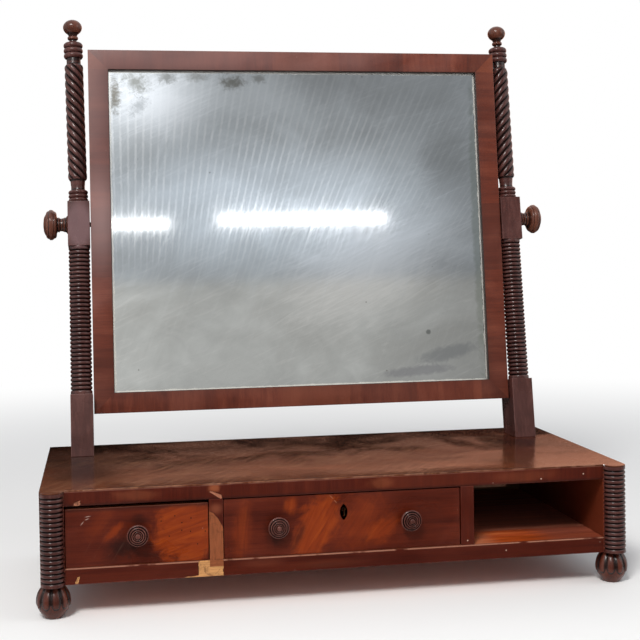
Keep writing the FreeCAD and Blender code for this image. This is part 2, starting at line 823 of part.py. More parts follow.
# ---------------------------------------------------------------- the looking glass


def pin_spots():
    """Where the backboard is pinned to each member, across and up from the mirror's middle."""
    inset = S.backboard_margin + S.pin_edge_distance
    across, up = MIRROR_HALF - inset, HALF_HEIGHT - inset
    return {"top_rail": [(across * share, up) for share in (-0.9, -0.3, 0.3, 0.9)],
            "bottom_rail": [(across * share, -1 * up) for share in (-0.9, -0.3, 0.3, 0.9)],
            "left_stile": [(-1 * across, up * share) for share in (-0.5, 0.5)],
            "right_stile": [(across, up * share) for share in (-0.5, 0.5)]}


def pin_holes(label, spots):
    """Holes for the pins, from inside the member's thickness out through its back."""
    reach = S.pin_length + 1
    start = FRAME_BACK_Y + S.backboard_thickness - reach
    return [rod(f"{label}_pin_hole_{index}", S.pin_diameter + 2 * S.joint_clearance, reach,
                (x, start, z), "+y", MIRROR) for index, (x, z) in enumerate(spots)]


def make_member(name, corner_of, length, planes, extra_cuts=()):
    """One mitred member of the frame: a rabbeted section run to length, its ends cut at 45.

    corner_of turns (in from the outer edge, thickness) into sketch coordinates.
    """
    member = body(f"mirror_{name}_member")
    lip = S.member_width - S.rabbet_width
    section = [(0, FACE_Y), (S.member_width, FACE_Y), (S.member_width, GLASS_FACE_Y),
               (lip, GLASS_FACE_Y), (lip, FRAME_BACK_Y), (0, FRAME_BACK_Y)]
    section_plane, mitre_plane, mitre_of = planes
    pad(member, section_plane, f"{name}_section", [corner_of(a, b) for a, b in section], length)
    margin = 1
    for end in (-1, 1):
        triangle = [(-1 * margin, margin), (S.member_width + margin, margin),
                    (S.member_width + margin, -1 * (S.member_width + margin)),
                    (-1 * margin, margin)]
        tip = pocket(member, mitre_plane, f"{name}_mitre_{'low' if end < 0 else 'high'}",
                     [mitre_of(a, b, end) for a, b in triangle[:3]], 4 * S.member_thickness)
        member.Tip = tip
    place(member, (0, 0, 0), frame=MIRROR)
    holes = pin_holes(name, pin_spots()[name]) + list(extra_cuts)
    node(cut(f"mirror_{name}", member, holes))


def make_rail(name, way):
    """The top or the bottom of the frame; way is +1 for the top."""
    make_member(
        name,
        lambda inward, thick: (thick, way * (HALF_HEIGHT - inward)),
        2 * MIRROR_HALF,
        ("YZ_Plane", "XZ_Plane",
         lambda inward, along, end: (end * (MIRROR_HALF + along), way * (HALF_HEIGHT - inward))))


def nut_plate_screw_spots():
    return [PIVOT_IN_MIRROR + S.nut_screw_spacing / 2, PIVOT_IN_MIRROR - S.nut_screw_spacing / 2]


def make_stile(side):
    """One upright side of the frame, recessed and bored for the clamp's nut plate."""
    name = f"{side_name(side)}_stile"
    inward = "-x" if side == RIGHT else "+x"
    face = side * MIRROR_HALF
    seat = side * (MIRROR_HALF - S.nut_plate_thickness)
    low, high = sorted([seat, side * (MIRROR_HALF + 1)], key=lambda size: size.value)
    half_long = S.nut_plate_length / 2
    recess = board(f"{name}_recess",
                   (low, -1 * S.nut_plate_width / 2, PIVOT_IN_MIRROR - half_long),
                   (high, S.nut_plate_width / 2, PIVOT_IN_MIRROR + half_long), MIRROR)
    bore = rod(f"{name}_screw_room", S.clamp_screw_diameter + 2 * S.clamp_screw_room,
               S.clamp_screw_reach + S.clamp_screw_room, (face, 0, PIVOT_IN_MIRROR), inward, MIRROR)
    pilots = [rod(f"{name}_pilot_{index}", S.nut_screw_diameter + 2 * S.joint_clearance,
                  S.nut_screw_length + 2, (face, 0, z), inward, MIRROR)
              for index, z in enumerate(nut_plate_screw_spots())]
    make_member(
        name,
        lambda inset, thick: (side * (MIRROR_HALF - inset), thick),
        S.mirror_height,
        ("XY_Plane", "XZ_Plane",
         lambda inset, along, end: (side * (MIRROR_HALF - inset), end * (HALF_HEIGHT + along))),
        [recess, bore] + pilots)


def make_nut_plate(side):
    """A brass plate let into the edge of the stile, tapped for the clamp screw."""
    name = f"{side_name(side)}_nut_plate"
    inward = "-x" if side == RIGHT else "+x"
    low, high = sorted([side * (MIRROR_HALF - S.nut_plate_thickness), side * MIRROR_HALF],
                       key=lambda size: size.value)
    half_long = S.nut_plate_length / 2
    blank = board(f"{name}_blank", (low, -1 * S.nut_plate_width / 2, PIVOT_IN_MIRROR - half_long),
                  (high, S.nut_plate_width / 2, PIVOT_IN_MIRROR + half_long), MIRROR)
    start = side * (MIRROR_HALF + 1)
    bores = [rod(f"{name}_bore", S.clamp_screw_diameter + 2 * S.journal_clearance,
                 S.nut_plate_thickness + 2, (start, 0, PIVOT_IN_MIRROR), inward, MIRROR)]
    for index, z in enumerate(nut_plate_screw_spots()):
        bores.append(rod(f"{name}_shank_hole_{index}",
                         S.nut_screw_diameter + 2 * S.joint_clearance, S.nut_plate_thickness + 2,
                         (start, 0, z), inward, MIRROR))
        bores.append(rod(f"{name}_head_room_{index}",
                         S.nut_screw_head_diameter + 2 * S.joint_clearance,
                         S.nut_screw_head_thickness + 1, (start, 0, z), inward, MIRROR))
    node(cut(name, blank, bores))


def make_nut_plate_screws():
    """Two countersunk screws in each nut plate, their heads flush with it."""
    screws = []
    for side in (LEFT, RIGHT):
        seat = side * (MIRROR_HALF - S.nut_screw_head_thickness)
        for index, z in enumerate(nut_plate_screw_spots()):
            screws.append(screw(f"{side_name(side)}_nut_screw_{index}", S.nut_screw_diameter,
                                S.nut_screw_length, S.nut_screw_head_diameter,
                                S.nut_screw_head_thickness, (seat, 0, z),
                                "-x" if side == RIGHT else "+x", MIRROR))
    node(together("nut_plate_screws", screws))


def make_glass():
    """The silvered plate, lying in the rabbet against the lip of the frame."""
    inset = S.member_width - S.rabbet_width + S.glass_play
    across, up = MIRROR_HALF - inset, HALF_HEIGHT - inset
    node(board("mirror_glass", (-1 * across, GLASS_FACE_Y, -1 * up), (across, GLASS_BACK_Y, up),
               MIRROR))
    edge = MIRROR_HALF - (S.member_width - S.rabbet_width)
    rim = HALF_HEIGHT - (S.member_width - S.rabbet_width)
    half_long = S.wedge_length / 2
    blocks = []
    for index, share in enumerate((-0.6, 0.6)):
        centre_x, centre_z = edge * share, rim * share
        for way in (-1, 1):
            z_low, z_high = sorted([way * rim, way * (rim - S.wedge_width)],
                                   key=lambda size: size.value)
            x_low, x_high = sorted([way * edge, way * (edge - S.wedge_width)],
                                   key=lambda size: size.value)
            blocks.append(board(f"glass_block_rail_{index}_{way + 1}",
                                (centre_x - half_long, GLASS_BACK_Y, z_low),
                                (centre_x + half_long, FRAME_BACK_Y, z_high), MIRROR))
            blocks.append(board(f"glass_block_stile_{index}_{way + 1}",
                                (x_low, GLASS_BACK_Y, centre_z - half_long),
                                (x_high, FRAME_BACK_Y, centre_z + half_long), MIRROR))
    node(together("glass_blocks", blocks))


def make_backboard():
    """A thin board over the back of the frame, and the pins round its edge."""
    across, up = MIRROR_HALF - S.backboard_margin, HALF_HEIGHT - S.backboard_margin
    outer = FRAME_BACK_Y + S.backboard_thickness
    blank = board("backboard_blank", (-1 * across, FRAME_BACK_Y, -1 * up), (across, outer, up),
                  MIRROR)
    spots = [spot for group in pin_spots().values() for spot in group]
    node(cut("mirror_backboard", blank, pin_holes("backboard", spots)))
    pins = [screw(f"backboard_pin_{index}", S.pin_diameter, S.pin_length, S.pin_head_diameter,
                  S.pin_head_thickness, (x, outer, z), "-y", MIRROR)
            for index, (x, z) in enumerate(spots)]
    node(together("backboard_pins", pins))


def make_clamp(side):
    """A turned knob and its iron screw, which draws the mirror up against the block."""
    name = f"{side_name(side)}_clamp"
    outward = "+x" if side == RIGHT else "-x"
    seat = BLOCK_OUTER_X + S.running_gap
    knob = body(name + "_knob")
    length, head = S.clamp_knob_length, S.clamp_knob_length - S.clamp_head_thickness
    flare, waist = S.clamp_flare_diameter / 2, S.clamp_waist_diameter / 2
    rim, bore = S.clamp_knob_diameter / 2, S.clamp_screw_diameter / 2 + S.joint_clearance
    grip = S.clamp_screw_grip + 1
    turn(knob, name + "_turning",
         [(bore, 0), (flare, 0), (waist, head * 0.62, -1.2), (waist + 2, head),
          (rim * 0.86, head + 1, -1), (rim, head + S.clamp_head_thickness * 0.38, 1),
          (rim * 0.9, length - 3, 1), (S.tip_diameter / 2, length, 1.5), (0, length),
          (0, grip), (bore, grip)])
    place(knob, (side * seat, PIVOT_Y, PIVOT_Z), TURNS[outward])
    node(knob)
    tip = MIRROR_HALF - S.clamp_screw_reach
    node(rod(name + "_screw", S.clamp_screw_diameter, seat + S.clamp_screw_grip - tip,
             (side * tip, PIVOT_Y, PIVOT_Z), outward))


# ---------------------------------------------------------------- the drawers


def drawer_extent(bay):
    low, high = BAYS[bay]
    return low + S.drawer_play, high - S.drawer_play


def knob_places(bay):
    """Where the knobs of a drawer sit along the case."""
    if bay == "centre":
        half = S.centre_knob_spacing / 2
        return {"left_knob": -1 * half, "right_knob": half}
    low, high = BAYS[bay]
    return {"knob": (low + high) / 2}


def front_cutters(bay, low, high):
    """The groove for the bottom, the laps for the sides and the holes for the knobs."""
    bottom = DRAWER_BOTTOM + S.drawer_bottom_raise - S.joint_clearance
    top = DRAWER_BOTTOM + S.drawer_bottom_raise + S.drawer_bottom_thickness + S.joint_clearance
    reach = S.drawer_side_thickness - S.drawer_groove_depth
    cutters = [board(f"{bay}_front_groove",
                     (low + reach, FRONT_BACK_Y - S.drawer_groove_depth, bottom),
                     (high - reach, FRONT_BACK_Y + 1, top))]
    for name, start, end in (("left", low - 1, low + S.drawer_side_thickness),
                             ("right", high - S.drawer_side_thickness, high + 1)):
        cutters.append(board(f"{bay}_front_{name}_lap",
                             (start, FRONT_BACK_Y - S.drawer_lap, DRAWER_BOTTOM - 1),
                             (end, FRONT_BACK_Y + 1, SIDE_TOP)))
    for name, x in knob_places(bay).items():
        cutters.append(rod(f"{bay}_front_{name}_hole",
                           S.knob_spigot_diameter + 2 * S.joint_clearance,
                           S.drawer_front_thickness + 2, (x, FRONT_FACE_Y - 1, KNOB_Z), "+y"))
    return cutters


def make_drawer_box(bay):
    """Two sides, a back and a bottom that slides in their grooves."""
    low, high = drawer_extent(bay)
    thick = S.drawer_side_thickness
    groove_low = DRAWER_BOTTOM + S.drawer_bottom_raise - S.joint_clearance
    bottom_top = DRAWER_BOTTOM + S.drawer_bottom_raise + S.drawer_bottom_thickness
    start = FRONT_BACK_Y - S.drawer_lap
    for name, x_low, x_high, groove_x in (
            ("left", low, low + thick, (low + thick - S.drawer_groove_depth, low + thick + 1)),
            ("right", high - thick, high,
             (high - thick - 1, high - thick + S.drawer_groove_depth))):
        blank = board(f"{bay}_drawer_{name}_blank", (x_low, start, DRAWER_BOTTOM),
                      (x_high, DRAWER_END_Y, SIDE_TOP))
        groove = board(f"{bay}_drawer_{name}_groove", (groove_x[0], start - 1, groove_low),
                       (groove_x[1], DRAWER_END_Y + 1, bottom_top + S.joint_clearance))
        node(cut(f"{bay}_drawer_{name}_side", blank, [groove]))
    node(board(f"{bay}_drawer_back", (low + thick, DRAWER_END_Y - thick, bottom_top),
               (high - thick, DRAWER_END_Y, SIDE_TOP - S.drawer_back_drop)))
    reach = thick - S.drawer_groove_depth + S.joint_clearance
    node(board(f"{bay}_drawer_bottom",
               (low + reach, FRONT_BACK_Y - S.drawer_groove_depth + S.joint_clearance,
                DRAWER_BOTTOM + S.drawer_bottom_raise),
               (high - reach, DRAWER_END_Y, bottom_top)))


def make_knob(bay, name, x):
    """A turned drawer knob: flange, waist, broad ringed head and a button at its middle."""
    knob = body(f"{bay}_drawer_{name}")
    spigot, flange = S.knob_spigot_diameter / 2, S.knob_flange_diameter / 2
    waist, rim, button = S.knob_waist_diameter / 2, S.knob_diameter / 2, S.knob_button_diameter / 2
    length, tail = S.knob_projection, -1 * (S.drawer_front_thickness - 1)
    head = length - S.knob_head_thickness
    turn(knob, f"{bay}_{name}_turning",
         [(0, tail), (spigot, tail), (spigot, 0), (flange, 0), (flange, S.knob_flange_thickness),
          (waist, head, -1), (rim, head + S.knob_head_thickness * 0.4, 1.2),
          (rim * 0.86, length - 2, 1), (button, length - 1.6), (button, length - 0.8),
          (S.tip_diameter / 2, length, 0.3), (0, length)])
    place(knob, (x, FRONT_FACE_Y, KNOB_Z), TURNS["-y"])
    node(knob)


def oval(label, start, depth):
    """A pointed oval plate standing upright, its face at the drawer's face."""
    plate = body(label)
    half_high, half_wide = S.escutcheon_height / 2, S.escutcheon_width / 2
    pad(plate, "XZ_Plane", label + "_pad",
        [(0, half_high, half_wide), (0, -1 * half_high, half_wide)], depth)
    place(plate, (0, start + depth / 2, KEYHOLE_Z))
    return plate


def keyhole(label, depth):
    """A key-shaped tool: a round eye over a narrower slot."""
    start = FRONT_FACE_Y - 1
    eye = rod(label + "_eye", S.keyhole_width, depth + 1,
              (0, start, KEYHOLE_Z + S.keyhole_height / 2 - S.keyhole_width / 2), "+y")
    slot = board(label + "_slot",
                 (-1 * S.keyhole_width / 4, start, KEYHOLE_Z - S.keyhole_height / 2),
                 (S.keyhole_width / 4, start + depth + 1,
                  KEYHOLE_Z + S.keyhole_height / 2 - S.keyhole_width / 2))
    return joined(label, [eye, slot])


def lock_screw_spots():
    across = S.lock_width / 2 - S.lock_screw_inset
    return [(side * across, CENTRE_FRONT_TOP - drop) for side in (LEFT, RIGHT)
            for drop in (S.lock_screw_inset, S.lock_height - S.lock_screw_inset)]


def lock_screw_holes(label):
    reach = S.lock_screw_length + 1
    return [rod(f"{label}_screw_hole_{index}", S.lock_screw_diameter + 2 * S.joint_clearance,
                reach, (x, FRONT_BACK_Y - reach, z), "+y")
            for index, (x, z) in enumerate(lock_screw_spots())]


def make_drawer(bay, top_gap):
    low, high = drawer_extent(bay)
    blank = board(f"{bay}_drawer_front_blank", (low, FRONT_FACE_Y, DRAWER_BOTTOM),
                  (high, FRONT_BACK_Y, OPENING_TOP - top_gap))
    cutters = front_cutters(bay, low, high)
    if bay == "centre":
        half = S.lock_width / 2
        cutters.append(board("lock_mortise",
                             (-1 * half, FRONT_BACK_Y - S.lock_depth,
                              CENTRE_FRONT_TOP - S.lock_height),
                             (half, FRONT_BACK_Y + 1, CENTRE_FRONT_TOP + 1)))
        cutters.append(oval("escutcheon_seat", FRONT_FACE_Y, S.escutcheon_thickness))
        cutters.append(keyhole("front_keyhole", S.drawer_front_thickness - 2))
        cutters += lock_screw_holes("front")
    node(cut(f"{bay}_drawer_front", blank, cutters))
    make_drawer_box(bay)
    for name, x in knob_places(bay).items():
        make_knob(bay, name, x)


def make_lock():
    """A brass box lock let into the back of the centre drawer's front, and its rising bolt."""
    half, low = S.lock_width / 2, CENTRE_FRONT_TOP - S.lock_height
    blank = board("lock_blank", (-1 * half, FRONT_BACK_Y - S.lock_depth, low),
                  (half, FRONT_BACK_Y, CENTRE_FRONT_TOP))
    wide, thick = S.bolt_width / 2, S.bolt_thickness / 2
    gap = S.running_gap
    bolt_foot = CENTRE_FRONT_TOP - S.bolt_length
    slot = board("lock_slot", (-1 * (wide + gap), BOLT_Y - thick - gap, bolt_foot - gap),
                 (wide + gap, BOLT_Y + thick + gap, CENTRE_FRONT_TOP + 1))
    opening = keyhole("lock_keyhole", S.drawer_front_thickness - 2)
    node(cut("lock_case", blank, [slot, opening] + lock_screw_holes("lock")))
    node(board("lock_bolt", (-1 * wide, BOLT_Y - thick, bolt_foot),
               (wide, BOLT_Y + thick, CENTRE_FRONT_TOP)))
    screws = [screw(f"lock_screw_{index}", S.lock_screw_diameter, S.lock_screw_length,
                    S.lock_screw_head_diameter, S.lock_screw_head_thickness,
                    (x, FRONT_BACK_Y, z), "-y")
              for index, (x, z) in enumerate(lock_screw_spots())]
    node(together("lock_screws", screws))
    plate = oval("escutcheon_plate", FRONT_FACE_Y, S.escutcheon_thickness)
    node(cut("keyhole_escutcheon", plate, [keyhole("escutcheon_keyhole", S.escutcheon_thickness + 1)]))


# ---------------------------------------------------------------- build, check and write


def build():
    make_top_board()
    make_rails()
    make_kickers()
    make_glue_blocks()
    for side in (LEFT, RIGHT):
        make_side(side)
        make_column(side)
        for end, x, y in foot_spots(side):
            make_foot(side, end, x, y)
        make_upright(side)
        make_twist_column(side)
        make_finial(side)
        make_stile(side)
        make_nut_plate(side)
        make_clamp(side)
    make_upright_screws()
    make_rail("top_rail", 1)
    make_rail("bottom_rail", -1)
    make_nut_plate_screws()
    make_glass()
    make_backboard()
    make_drawer("left", S.left_drawer_top_gap)
    make_drawer("centre", S.centre_drawer_top_gap)
    make_lock()
    doc.recompute()


def check():
    """Stops the run if any object failed or any finished piece isn't a sound solid."""
    for thing in doc.Objects:
        broken = [state for state in thing.State if state in ("Invalid", "Error")]
        if broken:
            raise RuntimeError(f"{thing.Label} is {broken}")
    for piece in NODES:
        shape = piece.Shape
        if shape.isNull() or not shape.isValid() or not shape.Solids or shape.Volume <= 0:
            raise RuntimeError(f"{piece.Label} has no sound shape")


def write():
    os.makedirs("parts", exist_ok=True)
    for piece in NODES:
        piece.Shape.exportStep(f"parts/{piece.Label}.step")
    print(f"{len(NODES)} nodes, {sum(len(piece.Shape.Solids) for piece in NODES)} solids")


build()
check()
write()
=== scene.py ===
# %% [markdown]
# # A dressing mirror on a box of drawers
#
# The object is an old mahogany dressing mirror: a low box with three bays on bun feet, two leaning
# turned uprights, and a plain framed glass that tilts between them. A fixed model already holds
# every piece at its true size. This lesson dresses it: turned and carved pieces are worked out
# again as finer surfaces, and every piece gets a finish.
#
# The fixed model is loaded first.

import math

import bpy
import numpy as np
from mathutils import Matrix, Vector


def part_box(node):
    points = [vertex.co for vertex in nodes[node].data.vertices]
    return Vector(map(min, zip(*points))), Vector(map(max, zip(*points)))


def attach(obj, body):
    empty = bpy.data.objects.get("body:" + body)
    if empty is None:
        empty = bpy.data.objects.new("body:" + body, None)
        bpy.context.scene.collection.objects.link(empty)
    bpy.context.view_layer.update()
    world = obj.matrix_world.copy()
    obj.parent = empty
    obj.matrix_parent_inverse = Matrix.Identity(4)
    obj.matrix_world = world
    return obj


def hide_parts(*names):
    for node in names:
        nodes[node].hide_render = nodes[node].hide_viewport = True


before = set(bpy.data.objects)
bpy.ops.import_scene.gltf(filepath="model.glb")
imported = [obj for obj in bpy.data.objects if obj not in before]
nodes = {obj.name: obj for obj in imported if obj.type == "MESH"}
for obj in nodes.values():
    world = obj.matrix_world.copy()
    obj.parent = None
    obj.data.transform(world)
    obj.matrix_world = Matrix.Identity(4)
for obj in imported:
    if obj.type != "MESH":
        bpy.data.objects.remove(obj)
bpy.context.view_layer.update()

# %% [markdown]
# ## Sizes
#
# All lengths are in millimetres, because a maker thinks in them, and are turned into metres when
# a mesh is written. The few places that the finer surfaces need are named here once.

# %% Sizes of the case
MM = 0.001
HALF_WIDTH = 325.0
SIDE_THICKNESS = 25.3
INNER_SIDE = HALF_WIDTH - SIDE_THICKNESS
FRONT = -153.814
CASE_DEPTH = 296.0
BACK = FRONT + CASE_DEPTH
CASE_BOTTOM = 35.6
OPENING_BOTTOM = 52.9
CASE_TOP = 135.4
SKIN = 1.6
COLUMN_RADIUS = SIDE_THICKNESS / 2
COLUMN_X = HALF_WIDTH - COLUMN_RADIUS
print("case:", 2 * HALF_WIDTH, "wide,", CASE_DEPTH, "deep, top at", CASE_TOP)

# %% [markdown]
# The uprights and the looking glass have sizes of their own. Along an upright they count up from
# the place where its axis meets the top, and on the looking glass they count from the middle of
# the plate. Lean, splay and tilt are angles, because a maker sets them with a bevel and not with
# a rule.

# %% Sizes of the uprights and the looking glass
UPRIGHT_X = 282.8
UPRIGHT_HALF = 13.6
AXIS_Y = 71.258
LEAN = math.radians(9.08)
SPLAY = math.radians(1.0)
PLINTH_LENGTH, SHAFT_END, BLOCK_END = 74.2, 259.1, 315.8
PLINTH_DEPTH = 34.3
SHAFT_RADIUS = 13.3
SHAFT_SIDES = 56
TWIST_START, TWIST_END, COLLAR_START, COLLAR_END = 28.0, 179.5, 188.0, 208.3
PIVOT_Y, PIVOT_Z = 116.622, 419.248
TILT = math.radians(6.28)
MIRROR_HALF = UPRIGHT_X - UPRIGHT_HALF - 1.2
MIRROR_HALF_HEIGHT = 230.45
MIRROR_DROP = 7.5
MEMBER = 25.6
LEFT, RIGHT = -1, 1
SIDE_NAME = {LEFT: "left", RIGHT: "right"}
print("looking glass:", 2 * MIRROR_HALF, "by", 2 * MIRROR_HALF_HEIGHT)

# %% [markdown]
# ## From arrays to a mesh
#
# Each new piece is a set of points in rows and columns, and faces that join neighbouring points.
# Whole arrays go into the mesh at once. Faces smooth into each other unless they meet at more
# than the crease angle, so an arris stays crisp and a turned bead stays round.


# %% Write a mesh
def piece(name, points, quads, triangles=(), caps=(), crease=34, carried=None):
    """A mesh object from points (n, 3) in mm and faces that are rows of point numbers.

    `caps` are longer loops of point numbers, and `carried` gives one number per point by name.
    """
    groups = [np.asarray(quads, int).reshape(-1, 4), np.asarray(triangles, int).reshape(-1, 3)]
    corners = np.concatenate([g.ravel() for g in groups] + [np.asarray(c, int) for c in caps])
    counts = np.concatenate([np.full(len(g), g.shape[1]) for g in groups]
                            + [np.array([len(c)]) for c in caps])
    mesh = bpy.data.meshes.new(name)
    mesh.vertices.add(len(points))
    mesh.vertices.foreach_set("co", (np.asarray(points) * MM).astype(np.float32).ravel())
    mesh.loops.add(len(corners))
    mesh.loops.foreach_set("vertex_index", corners.astype(np.int32))
    mesh.polygons.add(len(counts))
    starts = np.concatenate([[0], np.cumsum(counts)[:-1]]).astype(np.int32)
    mesh.polygons.foreach_set("loop_start", starts)
    mesh.polygons.foreach_set("use_smooth", np.ones(len(counts), bool))
    for label, values in (carried or {}).items():
        layer = mesh.attributes.new(label, "FLOAT", "POINT")
        layer.data.foreach_set("value", np.asarray(values, np.float32).ravel())
    mesh.update(calc_edges=True)
    mesh.validate()
    mesh.set_sharp_from_angle(angle=math.radians(crease))
    made = bpy.data.objects.new(name, mesh)
    bpy.context.scene.collection.objects.link(made)
    return made


def grid_quads(rows, columns, closed=False):
    """Faces between neighbouring points of a grid; `closed` joins the last column to the first."""
    across = columns if closed else columns - 1
    r, c = np.meshgrid(np.arange(rows - 1), np.arange(across), indexing="ij")
    d = (c + 1) % columns
    return np.stack([r * columns + c, r * columns + d,
                     (r + 1) * columns + d, (r + 1) * columns + c], -1).reshape(-1, 4)


print("a grid of 4 by 5 points has", len(grid_quads(4, 5)), "faces")

# %% [markdown]
# ## Where pieces stand
#
# The uprights lean back about a line along X, and the glass tilts about its own. A piece is first
# worked out standing straight at the origin and then carried to its place by one of these turns.


# %% Carry points to their place
def leaned(points, angle, x, y, z):
    """Turns points back about X by an angle, then moves them: y and z mix by sine and cosine."""
    s, c = math.sin(angle), math.cos(angle)
    px, py, pz = np.moveaxis(np.asarray(points, float), -1, 0)
    return np.stack([px + x, py * c + pz * s + y, pz * c - py * s + z], -1)


def on_upright(points, side):
    """Z runs up the leaning axis of an upright, from where it meets the top."""
    return leaned(points, LEAN, side * UPRIGHT_X, AXIS_Y, CASE_TOP)


def on_column(points, side, up=0.0):
    """Z runs up the axis of a twist column; the left column also leans outward a little."""
    splay = SPLAY if side == LEFT else 0.0
    lift = 11.9 * math.sin(splay)
    px, py, pz = np.moveaxis(np.asarray(points, float) + [0, 0, up], -1, 0)
    turned_out = np.stack([px * math.cos(splay) - pz * math.sin(splay), py,
                           px * math.sin(splay) + pz * math.cos(splay) + BLOCK_END + lift], -1)
    return on_upright(turned_out, side)


def on_mirror(points):
    """X and Z lie in the plane of the looking glass, from its middle; Y runs to its back."""
    return leaned(points, TILT, 0, PIVOT_Y - MIRROR_DROP * math.sin(TILT),
                  PIVOT_Z - MIRROR_DROP * math.cos(TILT))


print("the right block ends at", on_upright(np.array([0.0, 0.0, BLOCK_END]), RIGHT).round(1))

# %% [markdown]
# ## Boards with eased arrises
#
# Old boards have no sharp edges: two centuries of dusters have rounded them. A board is six grids
# of points welded along their borders. Each point is then moved onto a slightly rounded box.
# A Bevel modifier could do this too, but arrays also let a chip or a hollow be pressed in.


# %% Eased boards
def edge_places(low, high, ease, step):
    """Places along one side of a board: close together at the arrises, evenly spaced between."""
    near = np.array([0.0, 0.25, 0.6]) * ease
    start, end = low + ease, high - ease
    support = min(0.4, (end - start) / 4)
    count = max(int(round((end - start - 2 * support) / step)), 1)
    middle = np.linspace(start + support, end - support, count + 1)
    return np.concatenate([low + near, [start], middle, [end], (high - near)[::-1]])


def eased_block(low, high, ease=0.5, steps=(60, 60, 60), extra=None):
    """Points and faces of a box with rounded edges.

    A point p of the plain box moves to q + ease * (p - q) / |p - q|, where q is the nearest
    point of the box that is smaller by the ease all round.
    """
    low, high = np.asarray(low, float), np.asarray(high, float)
    places = [edge_places(low[a], high[a], ease, steps[a]) for a in range(3)]
    for axis, more in (extra or {}).items():
        places[axis] = np.unique(np.concatenate([places[axis], more]))
    grids, faces, count = [], [], 0
    for axis in range(3):
        u, v = (axis + 1) % 3, (axis + 2) % 3
        for end, plane in enumerate((low[axis], high[axis])):
            pu, pv = np.meshgrid(places[u], places[v], indexing="ij")
            grid = np.empty(pu.shape + (3,))
            grid[..., u], grid[..., v], grid[..., axis] = pu, pv, plane
            quads = grid_quads(*pu.shape) + count
            faces.append(quads[:, ::-1] if end else quads)
            grids.append(grid.reshape(-1, 3))
            count += pu.size
    points = np.concatenate(grids)
    keys = np.round(points * 1e5).astype(np.int64)
    _, first, welded = np.unique(keys, axis=0, return_index=True, return_inverse=True)
    points, quads = points[first], welded.ravel()[np.concatenate(faces)]
    inner = np.clip(points, low + ease, high - ease)
    away = points - inner
    length = np.linalg.norm(away, axis=1, keepdims=True)
    return inner + away * ease / np.maximum(length, 1e-9), quads


print("a small eased block has", len(eased_block((0, 0, 0), (60, 60, 20))[1]), "faces")

# %% [markdown]
# ### A board in the place of a solid
#
# Each board of the fixed model is a plain box, so its lowest and highest corner say all about it.
# The finer board is worked out between the same two corners, and so keeps the true size. Every
# point also carries how near it lies to an arris, because a finish wears off there first.


# %% Boards in place
def inner_distance(points, low, high):
    """How far each point lies from the nearest arris of its board."""
    gaps = np.minimum(points - low, np.asarray(high) - points)
    return np.sort(gaps, axis=1)[:, 1]


def node_box(node):
    """Lowest and highest corner of a fixed node, in mm."""
    low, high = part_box(node)
    return np.array(low) * 1000, np.array(high) * 1000


def arris_wear(points, low, high):
    """1 on an arris of the box from low to high, and fading to 0 over a few millimetres."""
    return np.exp(-inner_distance(points, low, high) / 1.2)


def board_like(node, steps=(60, 60, 60), extra=None, shape=None, body="case"):
    """A finer board in the place of a fixed one, with what `shape` presses into it."""
    low, high = node_box(node)
    points, quads = eased_block(low, high, 0.5, steps, extra)
    carried = {"arris": arris_wear(points, low, high)}
    if shape:
        points, more = shape(points)
        carried.update(more)
    made = piece(node + "_board", points, quads, carried=carried)
    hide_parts(node)
    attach(made, body)
    return made


print("boards are eased by half a millimetre")


# %% [markdown]
# ### Mortises and laps
#
# The lock's bolt rises into a mortise in the frieze, the lock case sits in a mortise of its
# drawer front, and the drawer sides end in laps of the fronts. A joiner cuts these with a
# chisel, and a Boolean modifier does the same here. Its result then becomes the board's mesh, so
# that no modifier is left on the board.

# %% Mortises
def mortised(made, low, high):
    """Takes a box from `low` to `high` (mm) out of a finished board."""
    points, quads = eased_block(low, high, 0.02)
    mesh = bpy.data.meshes.new("mortise")
    mesh.from_pydata(points * MM, [], quads.tolist())
    cutter = bpy.data.objects.new("mortise", mesh)
    bpy.context.scene.collection.objects.link(cutter)
    tool = made.modifiers.new("mortise", "BOOLEAN")
    tool.object, tool.operation, tool.solver = cutter, "DIFFERENCE", "EXACT"
    graph = bpy.context.evaluated_depsgraph_get()
    cut = bpy.data.meshes.new_from_object(made.evaluated_get(graph))
    made.modifiers.remove(tool)
    made.data = cut
    bpy.data.objects.remove(cutter)
    print(made.name, "mortised, now", len(cut.polygons), "faces")


BOLT_HALF, BOLT_Y = 9.5, node_box("centre_drawer_front")[1][1] - 4.5
print("the bolt stands", round(BOLT_Y - FRONT, 1), "mm behind the face of its drawer")

# %% [markdown]
# ## Turned pieces
#
# A turner works to an outline: straight runs, hollows and beads. The same outline, spun about an
# axis, gives the surface. An arc is told by its bulge, the height of the arc over its chord.


# %% Outlines
def arc_points(start, end, bulge, count):
    """Points of an arc over a chord; a positive bulge lies on the right of the way."""
    start, end = np.asarray(start, float), np.asarray(end, float)
    chord = end - start
    length = np.hypot(*chord)
    if abs(bulge) < 1e-6:
        return start + chord * np.linspace(0, 1, count + 1)[1:, None]
    radius = (length ** 2 / 4 + bulge ** 2) / (2 * abs(bulge))
    left = np.array([-chord[1], chord[0]]) / length
    centre = (start + end) / 2 + math.copysign(radius - abs(bulge), bulge) * left
    first = math.atan2(*(start - centre)[::-1])
    last = math.atan2(*(end - centre)[::-1])
    turn = (last - first) % math.tau if bulge > 0 else -((first - last) % math.tau)
    angles = first + turn * np.linspace(0, 1, count + 1)[1:]
    return centre + radius * np.stack([np.cos(angles), np.sin(angles)], -1)


def outline(corners, fine=7):
    """Points of an outline whose corners are (radius, height) or (radius, height, bulge)."""
    points = [np.array([corners[0][:2]], float)]
    for corner in corners[1:]:
        bulge = corner[2] if len(corner) > 2 else 0.0
        points.append(arc_points(points[-1][-1], corner[:2], bulge, fine if bulge else 1))
    return np.concatenate(points)


print("an arc of five parts has", len(outline([(0, 0), (4, 4, 1)], 5)), "points")

